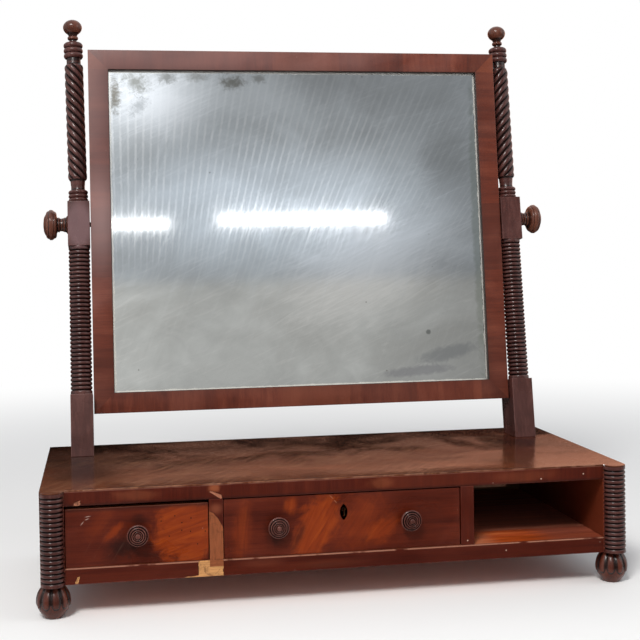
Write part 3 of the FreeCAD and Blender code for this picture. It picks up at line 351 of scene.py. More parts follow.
# %% [markdown]
# ### Spinning an outline
#
# On a lathe the wood turns and the outline stays where it is. Here the outline is carried round
# the axis: each of its points becomes a ring, and neighbouring rings are joined by faces. A Screw
# modifier could spin it too, but a grid of numbers can also be carved, twisted or split.


# %% Spun surfaces
def grid_shell(grid):
    """Points and faces of a closed skin from a grid of rings, with a cap point at each end."""
    rows, columns = grid.shape[:2]
    points = np.concatenate([grid.reshape(-1, 3), [grid[0].mean(0)], [grid[-1].mean(0)]])
    ring = np.arange(columns)
    following = (ring + 1) % columns
    base, top = rows * columns, rows * columns + 1
    last = (rows - 1) * columns
    caps = np.concatenate([np.stack([np.full(columns, base), following, ring], -1),
                           np.stack([np.full(columns, top), last + ring, last + following], -1)])
    return points, grid_quads(rows, columns, closed=True), caps


def spun(profile, around=72):
    """Grid of rings: radius and height of the outline, carried round the axis."""
    turn = np.linspace(0, math.tau, around, endpoint=False)
    r, z = profile[:, :1], profile[:, 1:]
    return np.stack([r * np.cos(turn), r * np.sin(turn), z + 0 * turn], -1)


print("a plain rod spins to a grid of", spun(outline([(5, 0), (5, 90)])).shape[:2], "points")

# %% [markdown]
# ### Where dirt gathers and shade is painted
#
# Old wax and dust stay in the valleys of a turning and are rubbed off its crests. The valleys are
# darkened both for that dirt and as painted shade, so that they read as dark as in shadow. Two
# measures find the valleys: how far the outline dips under its neighbours, for single beads, and
# how far it lies under the crests, for a long run of equal beads. Each piece carries the result as
# a number at every point, for its finish to read.


# %% Hollows
def hollowness(profile, reach):
    """1 where the outline dips under the line between the outline `reach` mm before and after it.

    The dip is measured along the outward normal, so it holds for a side and for a flat face.
    """
    steps = np.hypot(*np.diff(profile, axis=0).T)
    run = np.concatenate([[0], np.cumsum(steps)])

    def at(place):
        return np.stack([np.interp(place, run, profile[:, k]) for k in (0, 1)], -1)

    along = at(run + 0.3) - at(run - 0.3)
    outward = np.stack([along[:, 1], -along[:, 0]], -1)
    outward /= np.maximum(np.linalg.norm(outward, axis=1, keepdims=True), 1e-9)
    dip = (((at(run - reach) + at(run + reach)) / 2 - profile) * outward).sum(1)
    return np.clip(dip / (0.32 * reach), 0, 1)


RING_DEPTH, RING_LAND, RING_BULGE = 2.4, 0.4, 0.69


def sunk(profile, radius):
    """How far a run of beads lies under its crests: 0 on a crest and 1 in a valley."""
    return np.clip((radius - profile[:, 0]) / RING_DEPTH, 0, 1)


print("each ring is cut", RING_DEPTH, "mm deep")

# %% [markdown]
# ### One function for every turning
#
# Finials and knobs differ only in their outline and place, so one function makes them all. A
# second one writes the outline of a run of equal beads, because a column has twenty of them and
# an upright thirty-six.


# %% Turned pieces
def turned(name, profile, carry, around=72, reach=2.1):
    """A turned piece from its outline, carried to its place by the function `carry`."""
    points, quads, caps = grid_shell(spun(profile, around))
    hollow = np.append(np.repeat(hollowness(profile, reach), around), [0, 0])
    return piece(name, carry(points), quads, caps, crease=40, carried={"hollow": hollow})


def rings(radius, start, pitch, count):
    """Outline corners of a run of touching round beads going up: a cusp between each two."""
    half = (pitch - RING_LAND) / 2
    corners = []
    for step in range(1, count):
        valley = start + pitch * step
        corners += [(radius, valley - half), (radius - RING_DEPTH, valley, RING_BULGE),
                    (radius, valley + half, RING_BULGE)]
    return corners


print("a run of 20 rings has", len(rings(COLUMN_RADIUS, 0, 5, 20)), "corners")

# %% [markdown]
# ### Half-round columns on the front corners
#
# A ring-turned column was split down its middle and glued to the front edge of each side board.
# It is the turned surface over half a turn, closed by a flat back.


# %% Corner columns
def half_column(side):
    """Rings over the half turn that faces the front; the flat back joins the two long edges."""
    height = CASE_TOP - SKIN - CASE_BOTTOM
    profile = outline([(COLUMN_RADIUS - 0.5, 0), (COLUMN_RADIUS, 0.5)]
                      + rings(COLUMN_RADIUS, 0, height / 20, 20)
                      + [(COLUMN_RADIUS, height - 0.5), (COLUMN_RADIUS - 0.5, height)])
    angles = np.linspace(-math.pi, 0, 49)
    r, z = profile[:, :1], profile[:, 1:]
    grid = np.stack([side * COLUMN_X + r * np.cos(angles), FRONT + r * np.sin(angles),
                     CASE_BOTTOM + z + 0 * angles], -1)
    rows, columns = grid.shape[:2]
    left, right = np.arange(rows) * columns, np.arange(rows) * columns + columns - 1
    back = np.stack([left[:-1], left[1:], right[1:], right[:-1]], -1)[:, ::-1]
    quads = np.concatenate([grid_quads(rows, columns), back])
    ends = [np.arange(columns)[::-1], (rows - 1) * columns + np.arange(columns)]
    hollow = np.repeat(sunk(profile, COLUMN_RADIUS), columns)
    name = SIDE_NAME[side] + "_column"
    made = piece(name + "_turning", grid.reshape(-1, 3), quads, caps=ends,
                 carried={"hollow": hollow})
    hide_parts(name)
    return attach(made, "case")


columns = [half_column(side) for side in (LEFT, RIGHT)]
print("columns:", [len(o.data.polygons) for o in columns], "faces")

# %% [markdown]
# ### Carved feet
#
# Each foot is a turned bun whose upper part is carved with petals. A petal is a long bulge with a
# round tip. On the real foot a gouge cut the valleys; here the radius itself is a function of the
# angle round the foot and of the height, so that valley, petal and tip are one formula.

# %% Melon feet
PETALS = 10


def eased_step(value):
    """0 below 0, 1 above 1, and a smooth S between."""
    t = np.clip(value, 0, 1)
    return t * t * (3 - 2 * t)


def melon_foot(node):
    """Radius = the bun's outline, less 1.6 mm in the valleys and 1 mm below the petals' tips."""
    low, high = node_box(node)
    x, y = (low[0] + high[0]) / 2, (low[1] + high[1]) / 2
    profile = outline([(8.0, 0), (9.0, 0.7, 0.15), (18.38, 18.0, 2.4), (12.6, 32.9, 1.5),
                       (11.9, 33.6), (11.9, 35.5), (6.0, 35.6), (6.0, 51.4), (5.6, 51.6)], fine=30)
    angles = np.linspace(0, math.tau, 18 * PETALS, endpoint=False)
    across = np.abs(((angles + math.radians(25)) * PETALS / math.tau) % 1 * 2 - 1)
    height = profile[:, 1:]
    tip = 12.0 + 7.0 * across ** 2.6
    inside = eased_step((height - tip) / 1.0) * (height < 35.4)
    valley = 1.9 * (1 - np.sqrt(np.clip(1 - (0.985 * across) ** 2, 0, 1)))
    below = 1.0 * (1 - eased_step((height - tip) / 1.0)) * eased_step(height / 5.0)
    rim = np.exp(-((height - tip + 0.2) / 0.7) ** 2)
    radius = profile[:, :1] - valley * inside - below
    grid = np.stack([x + radius * np.cos(angles), y + radius * np.sin(angles),
                     height + 0 * angles], -1)
    points, quads, caps = grid_shell(grid)
    hollow = np.maximum(np.clip(valley * inside / 1.2, 0, 1) ** 1.3, 0.75 * rim)
    made = piece(node + "_carving", points, quads, caps, crease=60,
                 carried={"hollow": np.append(hollow.ravel(), [0, 0])})
    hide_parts(node)
    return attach(made, "case")


feet = [melon_foot(f"{end}_{side}_foot") for end in ("front", "back") for side in ("left", "right")]
print("feet:", len(feet), "of", PETALS, "petals")

# %% [markdown]
# ### Uprights
#
# Plinth, ringed shaft and square block were worked in one length. The plinth's foot is cut
# slanting, so that it stands flat on the top while the upright leans. The three parts are closed
# skins that run a little way into each other, as the one piece of wood does.


# %% Uprights
def upright(side):
    """Two eased blocks and a run of rings, leaned back together."""
    name = SIDE_NAME[side] + "_upright"
    h = UPRIGHT_HALF
    plinth, plinth_quads = eased_block((-h, -h, -20), (h, PLINTH_DEPTH, PLINTH_LENGTH), 0.6,
                                       (30, 30, 30))
    slant = np.tan(LEAN) * plinth[:, 1]
    share = (PLINTH_LENGTH - plinth[:, 2]) / (PLINTH_LENGTH + 20)
    plinth[:, 2] = PLINTH_LENGTH - share * (PLINTH_LENGTH - slant)
    block, block_quads = eased_block((-h, -h, SHAFT_END), (h, h, BLOCK_END), 0.6, (30, 30, 30))
    profile = outline([(12.6, PLINTH_LENGTH - 3), (SHAFT_RADIUS, PLINTH_LENGTH)]
                      + rings(SHAFT_RADIUS, PLINTH_LENGTH, (SHAFT_END - PLINTH_LENGTH) / 36, 36)
                      + [(SHAFT_RADIUS, SHAFT_END), (12.6, SHAFT_END + 3)], fine=5)
    shaft, shaft_quads, shaft_caps = grid_shell(spun(profile, SHAFT_SIDES))
    points = np.concatenate([plinth, block, shaft])
    first, second = len(plinth), len(plinth) + len(block)
    quads = np.concatenate([plinth_quads, block_quads + first, shaft_quads + second])
    hollow = np.concatenate([np.zeros(second),
                             np.repeat(sunk(profile, SHAFT_RADIUS), SHAFT_SIDES), [0, 0]])
    arris = np.concatenate([
        arris_wear(plinth, (-h, -h, -30), (h, PLINTH_DEPTH, PLINTH_LENGTH)),
        arris_wear(block, (-h, -h, SHAFT_END), (h, h, BLOCK_END)),
        np.zeros(len(shaft))])
    made = piece(name + "_turning", on_upright(points, side), quads, shaft_caps + second,
                 carried={"hollow": hollow, "arris": arris})
    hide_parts(name)
    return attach(made, "case")


uprights = [upright(side) for side in (LEFT, RIGHT)]
print("uprights:", [len(o.data.polygons) for o in uprights], "faces")

# %% [markdown]
# ### Rope-twist columns
#
# Above each block stands a column with a rope twist of six strands, a pair to each other: the left
# one winds one way and the right one the other. The grid's own columns are made to wind with the
# rope, so that each valley is a line of the grid and stays sharp with few faces.

# %% Twist columns
STRANDS = 6
TWIST_LEAD = 66.0


def twist_column(side):
    """Radius = outline less 2.3 mm in the valleys; the angle grows by a full turn per lead."""
    name = SIDE_NAME[side] + "_twist_column"
    corners = [(5, -18), (5, 0), (10.2, 0)]
    corners += [(10.2, 5 * step, 2.0) for step in (1, 2, 3)]
    corners += [(8.9, 15.1), (8.9, 23, -0.4), (9.4, TWIST_START, -0.1)]
    lower = outline(corners, 8)
    barrel_z = np.linspace(TWIST_START, TWIST_END, 152)
    from_end = np.minimum(barrel_z - TWIST_START, TWIST_END - barrel_z)
    swell = 9.4 + 2.45 * np.sqrt(np.clip(1 - (1 - np.clip(from_end / 4.5, 0, 1)) ** 2, 0, 1))
    barrel = np.stack([swell, barrel_z], -1)[1:-1]
    corners = [(9.4, TWIST_END), (8.9, 182.5, -0.1), (8.9, COLLAR_START), (10.2, COLLAR_START)]
    corners += [(10.2, COLLAR_START + 20.3 / 3 * step, 2.0) for step in (1, 2, 3)]
    upper = outline(corners + [(4, COLLAR_END)], 8)
    profile = np.concatenate([lower, barrel, upper])
    z = profile[:, 1]
    hand = -1 if side == LEFT else 1
    winding = hand * math.tau * (np.clip(z, TWIST_START, TWIST_END) - TWIST_START) / TWIST_LEAD
    around = 14 * STRANDS
    angles = np.linspace(0, math.tau, around, endpoint=False)
    across = np.abs((angles * STRANDS / math.tau) % 1 * 2 - 1)
    fade = eased_step((z - TWIST_START) / 3.0) * eased_step((TWIST_END - z) / 3.0)
    valley = 2.7 * (1 - np.sqrt(np.clip(1 - (0.99 * across) ** 2, 0, 1)))
    radius = profile[:, :1] - valley * fade[:, None]
    radius = np.where(fade[:, None] > 0, np.maximum(radius, 8.2), radius)
    turn = angles + winding[:, None]
    grid = np.stack([radius * np.cos(turn), radius * np.sin(turn), z[:, None] + 0 * turn], -1)
    points, quads, caps = grid_shell(grid)
    beads = np.where(fade > 0, 0, hollowness(profile, 1.6))[:, None]
    hollow = np.maximum(beads, np.clip(valley / 2.2, 0, 1) * fade[:, None])
    made = piece(name + "_rope", on_column(points, side), quads, caps, crease=50,
                 carried={"hollow": np.append(hollow.ravel(), [0, 0])})
    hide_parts(name)
    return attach(made, "case")


twists = [twist_column(side) for side in (LEFT, RIGHT)]
print("twist columns:", STRANDS, "strands,", TWIST_LEAD, "mm to a turn")

# %% [markdown]
# ### Finials and knobs
#
# All are plain turnings. The finial is a squashed ball on a bead and a thin neck. The drawer knobs
# have ringed faces with a small button in a dish, and the clamp knobs are mushroom-shaped.

# %% Finials
BALL = [(12 * math.cos(turn), 21.2 + 10 * math.sin(turn))
        for turn in np.radians(np.arange(-55, 89, 8))]
FINIAL = [(2.6, -12), (3, -11.6), (3, 0), (5.3, 0.0), (4.5, 1.6, -0.3), (4.3, 3.4), (5.2, 4.6),
          (5.6, 5.0), (6.6, 6.6, 0.5), (5.9, 8.6, 0.5), (5.2, 9.6), (6.0, 11.6)] + BALL


def finial(side):
    name = SIDE_NAME[side] + "_finial"
    made = turned(name + "_turning", outline(FINIAL, 8),
                  lambda points: on_column(points, side, COLLAR_END))
    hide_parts(name)
    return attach(made, "case")


finials = [finial(side) for side in (LEFT, RIGHT)]
print("finials:", [thing.name for thing in finials])

# %% [markdown]
# A drawer knob stands on a short neck against the drawer front, and a dowel behind it goes
# through the board. Its axis runs forward, so the outline's height becomes the distance in front
# of the board. The rings of the face are shallow, so the outline has many short steps there.

# %% Drawer knobs
KNOB = [(3.7, -17), (4, -16.6), (4, 0), (8.4, 0.0), (8.45, 1.4), (7.6, 2.2, 0.3), (6.1, 4.6, -0.7),
        (6.3, 6.4, -0.25), (8.6, 8.2, -0.5), (11.1, 9.8, 0.6), (11.45, 11.0, 0.2),
        (11.0, 12.4, 0.35), (10.4, 12.9, 0.1), (10.0, 12.2), (9.3, 12.1, -0.1), (9.0, 13.5),
        (8.4, 14.2, 0.3), (7.9, 14.2, 0.1), (7.6, 13.4), (6.9, 13.3, -0.1), (6.7, 14.7),
        (6.1, 15.3, 0.3), (5.6, 15.2, 0.1), (5.3, 14.3), (4.7, 14.2, -0.1), (4.5, 15.3),
        (4.0, 15.7, 0.25), (3.6, 15.4), (3.4, 14.6), (3.0, 14.6), (2.7, 16.2, 0.1),
        (1.5, 17.3, 0.4), (0.4, 17.45, 0.02)]


def drawer_knob(node, body):
    low, high = node_box(node)
    x, z = (low[0] + high[0]) / 2, (low[2] + high[2]) / 2
    face = FRONT + 2.0

    def carry(points):
        return np.stack([points[:, 0] + x, face - points[:, 2], points[:, 1] + z], -1)

    made = turned(node + "_turning", outline(KNOB, 6), carry, around=64, reach=0.9)
    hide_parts(node)
    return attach(made, body)


knobs = [drawer_knob("left_drawer_knob", "left_drawer"),
         drawer_knob("centre_drawer_left_knob", "centre_drawer"),
         drawer_knob("centre_drawer_right_knob", "centre_drawer")]
print("drawer knobs:", len(knobs), "with", len(KNOB), "corners in the outline")

# %% [markdown]
# The clamp knobs hold the looking glass at its tilt: each one turns a screw that goes through an
# upright into the frame. The axis runs sideways. The rim is wide and undercut, so that fingers
# find a grip behind it, and the two knobs share one outline.

# %% Clamp knobs
CLAMP = [(3.3, 0), (10.9, 0.05), (11.15, 0.8, 0.2), (9.2, 4.0, -0.8), (8.1, 7.6, -0.35),
         (8.2, 9.4, -0.1), (8.9, 10.0), (9.3, 10.7, 0.3), (8.9, 11.4, 0.3), (8.9, 12.2),
         (13.5, 13.6, -0.5), (16.9, 15.6, 0.5), (17.1, 16.4), (16.9, 16.9), (18.3, 18.0, 0.3),
         (18.95, 20.2, 0.3), (18.3, 22.6, 0.4), (17.6, 23.0), (17.4, 23.4), (17.2, 24.4, 0.2),
         (14.6, 26.4, 0.4), (14.0, 26.5), (13.4, 26.4), (12.0, 27.6, 0.3), (6.0, 29.4, 0.5),
         (1.0, 29.95, 0.1)]


def clamp_knob(side):
    name = SIDE_NAME[side] + "_clamp_knob"
    seat = UPRIGHT_X + UPRIGHT_HALF + 0.3

    def carry(points):
        return np.stack([side * (seat + points[:, 2]), PIVOT_Y + side * points[:, 1],
                         PIVOT_Z + points[:, 0]], -1)

    made = turned(name + "_turning", outline(CLAMP, 6), carry, around=80, reach=1.0)
    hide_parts(name)
    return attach(made, SIDE_NAME[side] + "_clamp")


clamps = [clamp_knob(side) for side in (LEFT, RIGHT)]
print("turnings:", len(finials + knobs + clamps))

# %% [markdown]
# ## The case
#
# The boards of the case are eased boards in the places of the fixed ones. Two of them have lost
# veneer: the left muntin down most of its length, and the bottom rail below it. The veneer was
# about half a millimetre thick, so the bare ground lies that much lower, with a ragged edge.
# The ragged edge comes from a sum of sines, which is cheap, repeatable and needs no image.


# %% Ragged edges and missing veneer
VENEER = 0.55


def ragged(u, seed):
    """A wavering line between about -1 and 1: five sines of unrelated lengths, in mm."""
    lengths = np.array([31.0, 17.3, 9.7, 5.3, 2.9])
    sizes = np.array([0.35, 0.3, 0.22, 0.18, 0.12])
    phases = seed * np.array([1.7, 2.9, 4.3, 5.9, 7.7])
    return (sizes * np.sin(np.asarray(u)[..., None] * math.tau / lengths + phases)).sum(-1)


def patch(x, z, corners, rough, seed):
    """1 inside an outline of corners (anticlockwise, no hollow side) with frayed sides, else 0."""
    corners = np.array(corners)
    way = np.roll(corners, -1, 0) - corners
    inward = np.stack([-way[:, 1], way[:, 0]], -1) / np.linalg.norm(way, axis=1, keepdims=True)
    inside = ((x[:, None] - corners[:, 0]) * inward[:, 0]
              + (z[:, None] - corners[:, 1]) * inward[:, 1])
    return eased_step((inside.min(1) + rough * ragged(x + 1.7 * z, seed)) / 0.5)


def bared(points, patches):
    """Presses the bare patches of a board's front back by the veneer's thickness."""
    x, y, z = points.T
    at_front = np.exp(-np.clip(y - FRONT, 0, None) / 0.6)
    bare = np.zeros(len(points))
    for seed, (rough, corners) in enumerate(patches):
        bare = np.maximum(bare, patch(x, z, corners, rough, seed + 2.0))
    moved = points + np.stack([0 * x, VENEER * bare * (y < FRONT + 1.5), 0 * z], -1)
    return moved, {"bare": bare * at_front}


FRIEZE_CHIPS = [(0.5, [(-291.2, 117), (-283, 117), (-282.3, 124.2), (-284.3, 124),
                       (-288.9, 122.2)]),
                (0.9, [(-147.9, 126.2), (-138.5, 120.7), (-133.3, 117), (-133.0, 123),
                       (-143.7, 127.4)])]
RAIL_CHIPS = [(0.3, [(-160, 34), (-146, 34), (-146, 54), (-158.3, 54), (-160, 50.9)]),
              (0.3, [(-148, 34), (-132.6, 34), (-132.4, 54), (-148, 54)]),
              (0.4, [(-178, 34), (-159, 34), (-159, 37.6), (-172, 37.2)]),
              (0.5, [(-289.6, 36), (-285.9, 36.5), (-284, 44.1), (-287.4, 43.7)])]
MUNTIN_CHIPS = [(0.5, [(-149, 50), (-131, 50), (-131, 85), (-137.8, 98), (-142, 103.7),
                       (-149, 108)])]
print("bare patches:", len(FRIEZE_CHIPS + RAIL_CHIPS + MUNTIN_CHIPS))

# %% [markdown]
# The boards themselves follow. Where a patch is bare, the grid has a line every half to one
# millimetre, so that the ragged edge is real relief and not only painted. The other boards need
# few faces. The frieze also gets the mortise for the lock's bolt.

# %% Boards of the case
frieze = board_like("frieze_rail", steps=(1.0, 10, 0.7),
                    shape=lambda points: bared(points, FRIEZE_CHIPS))
mortised(frieze, (-BOLT_HALF, BOLT_Y - 2.5, 110), (BOLT_HALF, BOLT_Y + 2.5, 123.9))
bottom_rail = board_like("bottom_rail", steps=(1.0, 15, 0.7),
                         shape=lambda points: bared(points, RAIL_CHIPS))
left_muntin = board_like("left_muntin", steps=(0.5, 10, 0.6),
                         shape=lambda points: bared(points, MUNTIN_CHIPS))
right_muntin = board_like("right_muntin")
sides = [board_like(node) for node in ("left_side", "right_side")]
print("case boards made; bare patches on", left_muntin.name, "and", bottom_rail.name)

# %% [markdown]
# ### The top
#
# The top is a veneered board whose skin rounds out at the front corners, over the two columns.
# Its outline is one closed loop, and the loop is carried up through four heights: in by the ease
# at the bottom, out, and in again at the top.


# %% The top
def top_outline(front, ears):
    """The top seen from above, anticlockwise: back corners, then the two round front corners."""
    loop = [(HALF_WIDTH, BACK), (-HALF_WIDTH, BACK)]
    if ears:
        sweep = np.linspace(math.pi, math.tau, 25)
        for middle in (-COLUMN_X, COLUMN_X):
            loop += [(middle + COLUMN_RADIUS * math.cos(a), front + COLUMN_RADIUS * math.sin(a))
                     for a in sweep]
    else:
        loop += [(-HALF_WIDTH, front), (-INNER_SIDE, front), (-INNER_SIDE, front + 20),
                 (INNER_SIDE, front + 20), (INNER_SIDE, front), (HALF_WIDTH, front)]
    return np.array(loop)


def sawn(loop, low, high, ease):
    """A board sawn to an outline; each point of the loop steps in along its own inward normal."""
    before, after = np.roll(loop, 1, 0) - loop, np.roll(loop, -1, 0) - loop
    along = after / np.linalg.norm(after, axis=1, keepdims=True)
    along -= before / np.linalg.norm(before, axis=1, keepdims=True)
    along /= np.linalg.norm(along, axis=1, keepdims=True)
    inward = np.stack([-along[:, 1], along[:, 0]], -1)
    rows = [(ease, low), (0, low + ease), (0, high - ease), (ease, high)]
    grid = np.concatenate([np.column_stack([loop + inward * step, np.full(len(loop), z)])
                           for step, z in rows])
    count = len(loop)
    ends = [np.arange(count)[::-1], 3 * count + np.arange(count)]
    return grid, grid_quads(4, count, closed=True), ends


skin, skin_quads, skin_ends = sawn(top_outline(FRONT, True), CASE_TOP - SKIN, CASE_TOP, 0.45)
core, core_quads, core_ends = sawn(top_outline(FRONT, False), CASE_TOP - 8.0, CASE_TOP - SKIN, 0.2)
top = piece("top_board_boards", np.concatenate([skin, core]),
            np.concatenate([skin_quads, core_quads + len(skin)]),
            caps=skin_ends + [end + len(skin) for end in core_ends])
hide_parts("top_board")
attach(top, "case")
print("top:", len(top.data.polygons), "faces")

# %% [markdown]
# ### Drawer fronts
#
# Each front is an eased board. The middle one has a keyhole, so its grid has lines close together
# there and the points inside the hole are pushed deep into the wood.


# %% Drawer fronts
FRONT_TOP = 117.4
KEYHOLE_Z = FRONT_TOP - 20.5


def keyholed(points):
    """Pushes the points inside a round eye over a narrow slot 9 mm back."""
    x, y, z = points.T
    eye = np.hypot(x, z - (KEYHOLE_Z + 2.7)) < 1.8
    slot = (np.abs(x) < 0.9) & (z < KEYHOLE_Z + 2.7) & (z > KEYHOLE_Z - 4.5)
    hole = (eye | slot) & (y < FRONT + 3.2)
    return points + np.stack([0 * x, 8.8 * hole, 0 * z], -1), {"bare": 0 * x}


left_front = board_like("left_drawer_front", steps=(30, 20, 30), body="left_drawer")
centre_front = board_like("centre_drawer_front", steps=(30, 20, 30), shape=keyholed,
                          extra={0: np.arange(-3, 3.01, 0.3),
                                 2: KEYHOLE_Z + np.arange(-6, 6.01, 0.3)}, body="centre_drawer")
mortised(centre_front, (-23, BOLT_Y - 4.5, FRONT_TOP - 32), (23, BOLT_Y + 9, 120))
for front, bay in ((left_front, "left"), (centre_front, "centre")):
    for part, out in (("left", LEFT), ("right", RIGHT)):
        low, high = node_box(f"{bay}_drawer_{part}_side")
        (low if out == LEFT else high)[0] += out
        mortised(front, (low[0], low[1], low[2] - 1), (high[0], FRONT + 25, high[2]))
print("drawer fronts:", left_front.name, centre_front.name)

# %% [markdown]
# ## The looking-glass frame
#
# Four mitred members share one section: a flat face with eased arrises and a rabbet behind, where
# the glass lies. The section is carried along each member, and its ends run out at 45 degrees,
# because a point further in starts that much later.

# %% Frame members
FACE_Y, FRAME_BACK_Y = -11.0, 9.0
SECTION = [(0.7, FACE_Y), (MEMBER - 1.0, FACE_Y), (MEMBER, FACE_Y + 1.0, 0.29), (MEMBER, -3.0),
           (MEMBER - 6, -3.0), (MEMBER - 6, FRAME_BACK_Y), (0.3, FRAME_BACK_Y),
           (0, FRAME_BACK_Y - 0.3), (0, FACE_Y + 0.7), (0.7, FACE_Y, 0.2)]


def member(node, upright_way, side):
    """Section points carried from one mitre to the other; the ends lie at 45 degrees."""
    section = outline(SECTION, 4)[:-1]
    inward, depth = section.T
    reach, span = (MIRROR_HALF, MIRROR_HALF_HEIGHT) if upright_way else \
        (MIRROR_HALF_HEIGHT, MIRROR_HALF)
    along = np.linspace(-1, 1, 33)[:, None] * (span - inward)
    out = side * (reach - inward) + 0 * along
    lay = (out, depth + 0 * along, along) if upright_way else (along, depth + 0 * along, out)
    grid = np.stack(lay, -1)
    rows, count = grid.shape[:2]
    quads = grid_quads(rows, count, closed=True)
    ends = [np.arange(count)[::-1], (rows - 1) * count + np.arange(count)]
    if (side > 0) == upright_way:
        quads, ends = quads[:, ::-1], [end[::-1] for end in ends]
    edge = np.exp(-np.minimum(inward, MEMBER - inward) / 1.2) * (depth < FACE_Y + 2)
    lip = np.exp(-np.abs(MEMBER - inward) / 1.0) * (depth < 0)
    made = piece(node + "_moulding", on_mirror(grid.reshape(-1, 3)), quads, caps=ends,
                 carried={"arris": np.tile(edge, rows), "lip": np.tile(lip, rows)})
    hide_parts(node)
    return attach(made, "mirror")


stiles = [member("mirror_left_stile", True, LEFT), member("mirror_right_stile", True, RIGHT)]
mirror_rails = [member("mirror_top_rail", False, 1), member("mirror_bottom_rail", False, -1)]
print("frame members:", len(stiles + mirror_rails))

# %% [markdown]
# ## How a finish is mixed
#
# Every finish is a net of shader nodes over the object's own coordinates. A small class keeps the
# recipes short: each call adds one node and hands back what it gives.


# %% A finish and its nodes
class Finish:
    """One material being mixed; `skin` is its surface shader."""

    def __init__(self, name, constants):
        self.material = bpy.data.materials.new(name)
        self.material.use_nodes = True
        self.tree = self.material.node_tree
        self.skin = self.tree.nodes["Principled BSDF"]
        for socket, value in constants.items():
            self.skin.inputs[socket].default_value = value
        self.place = self.add("TexCoord").outputs["Object"]

    def add(self, kind, inputs=None, **settings):
        node = self.tree.nodes.new("ShaderNode" + kind)
        for key, value in settings.items():
            setattr(node, key, value)
        for key, value in (inputs or {}).items():
            self.feed(node.inputs[key], value)
        return node

    def feed(self, socket, value):
        if isinstance(value, bpy.types.NodeSocket):
            self.tree.links.new(value, socket)
        else:
            socket.default_value = value

    def give(self, socket, value):
        """Sets what one socket of the surface shader shows."""
        self.feed(self.skin.inputs[socket], value)

    def calc(self, operation, a, b=0.0):
        return self.add("Math", {0: a, 1: b}, operation=operation).outputs[0]

    def plus(self, a, b):
        return self.calc("ADD", a, b)

    def minus(self, a, b):
        return self.calc("SUBTRACT", a, b)

    def times(self, a, b):
        return self.calc("MULTIPLY", a, b)

    def part(self, value, start, end, low=0.0, high=1.0):
        """Takes start..end to low..high along a smooth S and stays level outside."""
        inputs = {"Value": value, "From Min": start, "From Max": end, "To Min": low, "To Max": high}
        return self.add("MapRange", inputs, interpolation_type="SMOOTHSTEP").outputs[0]

    def blend(self, share, a, b, mode="MIX"):
        """Colour a, with a share of colour b laid over it."""
        node = self.add("Mix", data_type="RGBA", blend_type=mode)
        for index, value in ((0, share), (6, a), (7, b)):
            colour = not isinstance(value, bpy.types.NodeSocket) and index > 0
            self.feed(node.inputs[index], (*value, 1) if colour else value)
        return node.outputs[2]

    def colours(self, value, stops):
        """A run of colours: (place, colour) pairs along 0..1."""
        node = self.add("ValToRGB", {"Fac": value})
        ramp = node.color_ramp
        while len(ramp.elements) < len(stops):
            ramp.elements.new(0.5)
        for element, (where, colour) in zip(ramp.elements, stops):
            element.position, element.color = where, (*colour, 1)
        return node.outputs["Color"]

    def carried(self, label):
        """A number that the mesh carries at each point."""
        return self.add("Attribute", attribute_name=label).outputs["Fac"]

    def along(self, letter):
        """One of the three coordinates, in metres."""
        return self.add("SeparateXYZ", {0: self.place}).outputs[letter]

    def rise(self, letter, start, end, low=0.0, high=1.0):
        """Takes the places start..end along an axis, in mm, to low..high, as `part` does."""
        return self.part(self.along(letter), start * MM, end * MM, low, high)


print("a finish knows:", ", ".join(name for name in vars(Finish) if not name.startswith("_")))

# %% [markdown]
# ### Patterns in millimetres
#
# A pattern's size is easier to judge in millimetres than as a scale. A Mapping node of the Texture
# kind divides by its scale, so a feature comes out as long as the number given. The same node
# also centres and turns a pattern, which places single marks such as a burn or a chip.


# %% Patterns
def seen_from(finish, centre, sizes, turn=0.0, swing=0.0):
    """Coordinates about a centre (mm), in sizes; `turn` is seen from the front.

    `swing` is an angle seen from above.
    """
    inputs = {"Vector": finish.place, "Location": [v * MM for v in centre],
              "Rotation": (0, -math.radians(turn), math.radians(swing)),
              "Scale": [v * MM for v in sizes]}
    return finish.add("Mapping", inputs, vector_type="TEXTURE").outputs["Vector"]


def clouds(finish, sizes, seed=0.0, detail=3.0, roughness=0.5, warp=0.0, turn=0.0, swing=0.0):
    """A cloudy pattern between 0 and 1, around 0.5, with features of about `sizes` mm."""
    place = seen_from(finish, (37 * seed, 53 * seed, 71 * seed), sizes, turn, swing)
    inputs = {"Vector": place, "Scale": 1.0, "Detail": detail, "Roughness": roughness,
              "Distortion": warp}
    return finish.add("TexNoise", inputs).outputs["Fac"]


def dots(finish, spacing, seed=0.0):
    """Distance to the nearest of many scattered points, in units of their spacing."""
    place = seen_from(finish, (29 * seed, 31 * seed, 43 * seed), (spacing,) * 3)
    return finish.add("TexVoronoi", {"Vector": place, "Scale": 1.0}).outputs["Distance"]


print("patterns: clouds and dots")

# %% [markdown]
# ### Marks and sheets
#
# A mark is one oval place, such as a stain or a scratch. A cloud pattern added to the distance
# from its centre frays the border, as a real stain spreads unevenly. Sheets of veneer differ in
# tone from one to the next, so each gets a chance number that depends only on its place.


# %% Marks and sheets
def mark(finish, centre, radii, turn=0.0, soft=0.5, stir=None):
    """1 inside an oval and 0 outside; `stir` is a pattern that frays its border."""
    sizes = (radii[0], 1000.0, radii[1]) if len(radii) == 2 else radii
    place = seen_from(finish, centre, sizes, turn)
    away = finish.add("VectorMath", {0: place}, operation="LENGTH").outputs["Value"]
    if stir is not None:
        away = finish.plus(away, finish.minus(stir, 0.5))
    return finish.part(away, 1.0 - soft, 1.0, 1.0, 0.0)


def sheets(finish, letter, width, seed=0.0):
    """One chance number for each sheet of veneer laid side by side along an axis."""
    drift = clouds(finish, (40, 40, 40), seed + 5, 1)
    place = finish.plus(finish.times(finish.along(letter), 1000.0 / width),
                        finish.times(drift, 0.06))
    number = finish.calc("FLOOR", finish.plus(place, seed * 1.37))
    return finish.add("TexWhiteNoise", {"W": number}, noise_dimensions="1D").outputs["Value"]


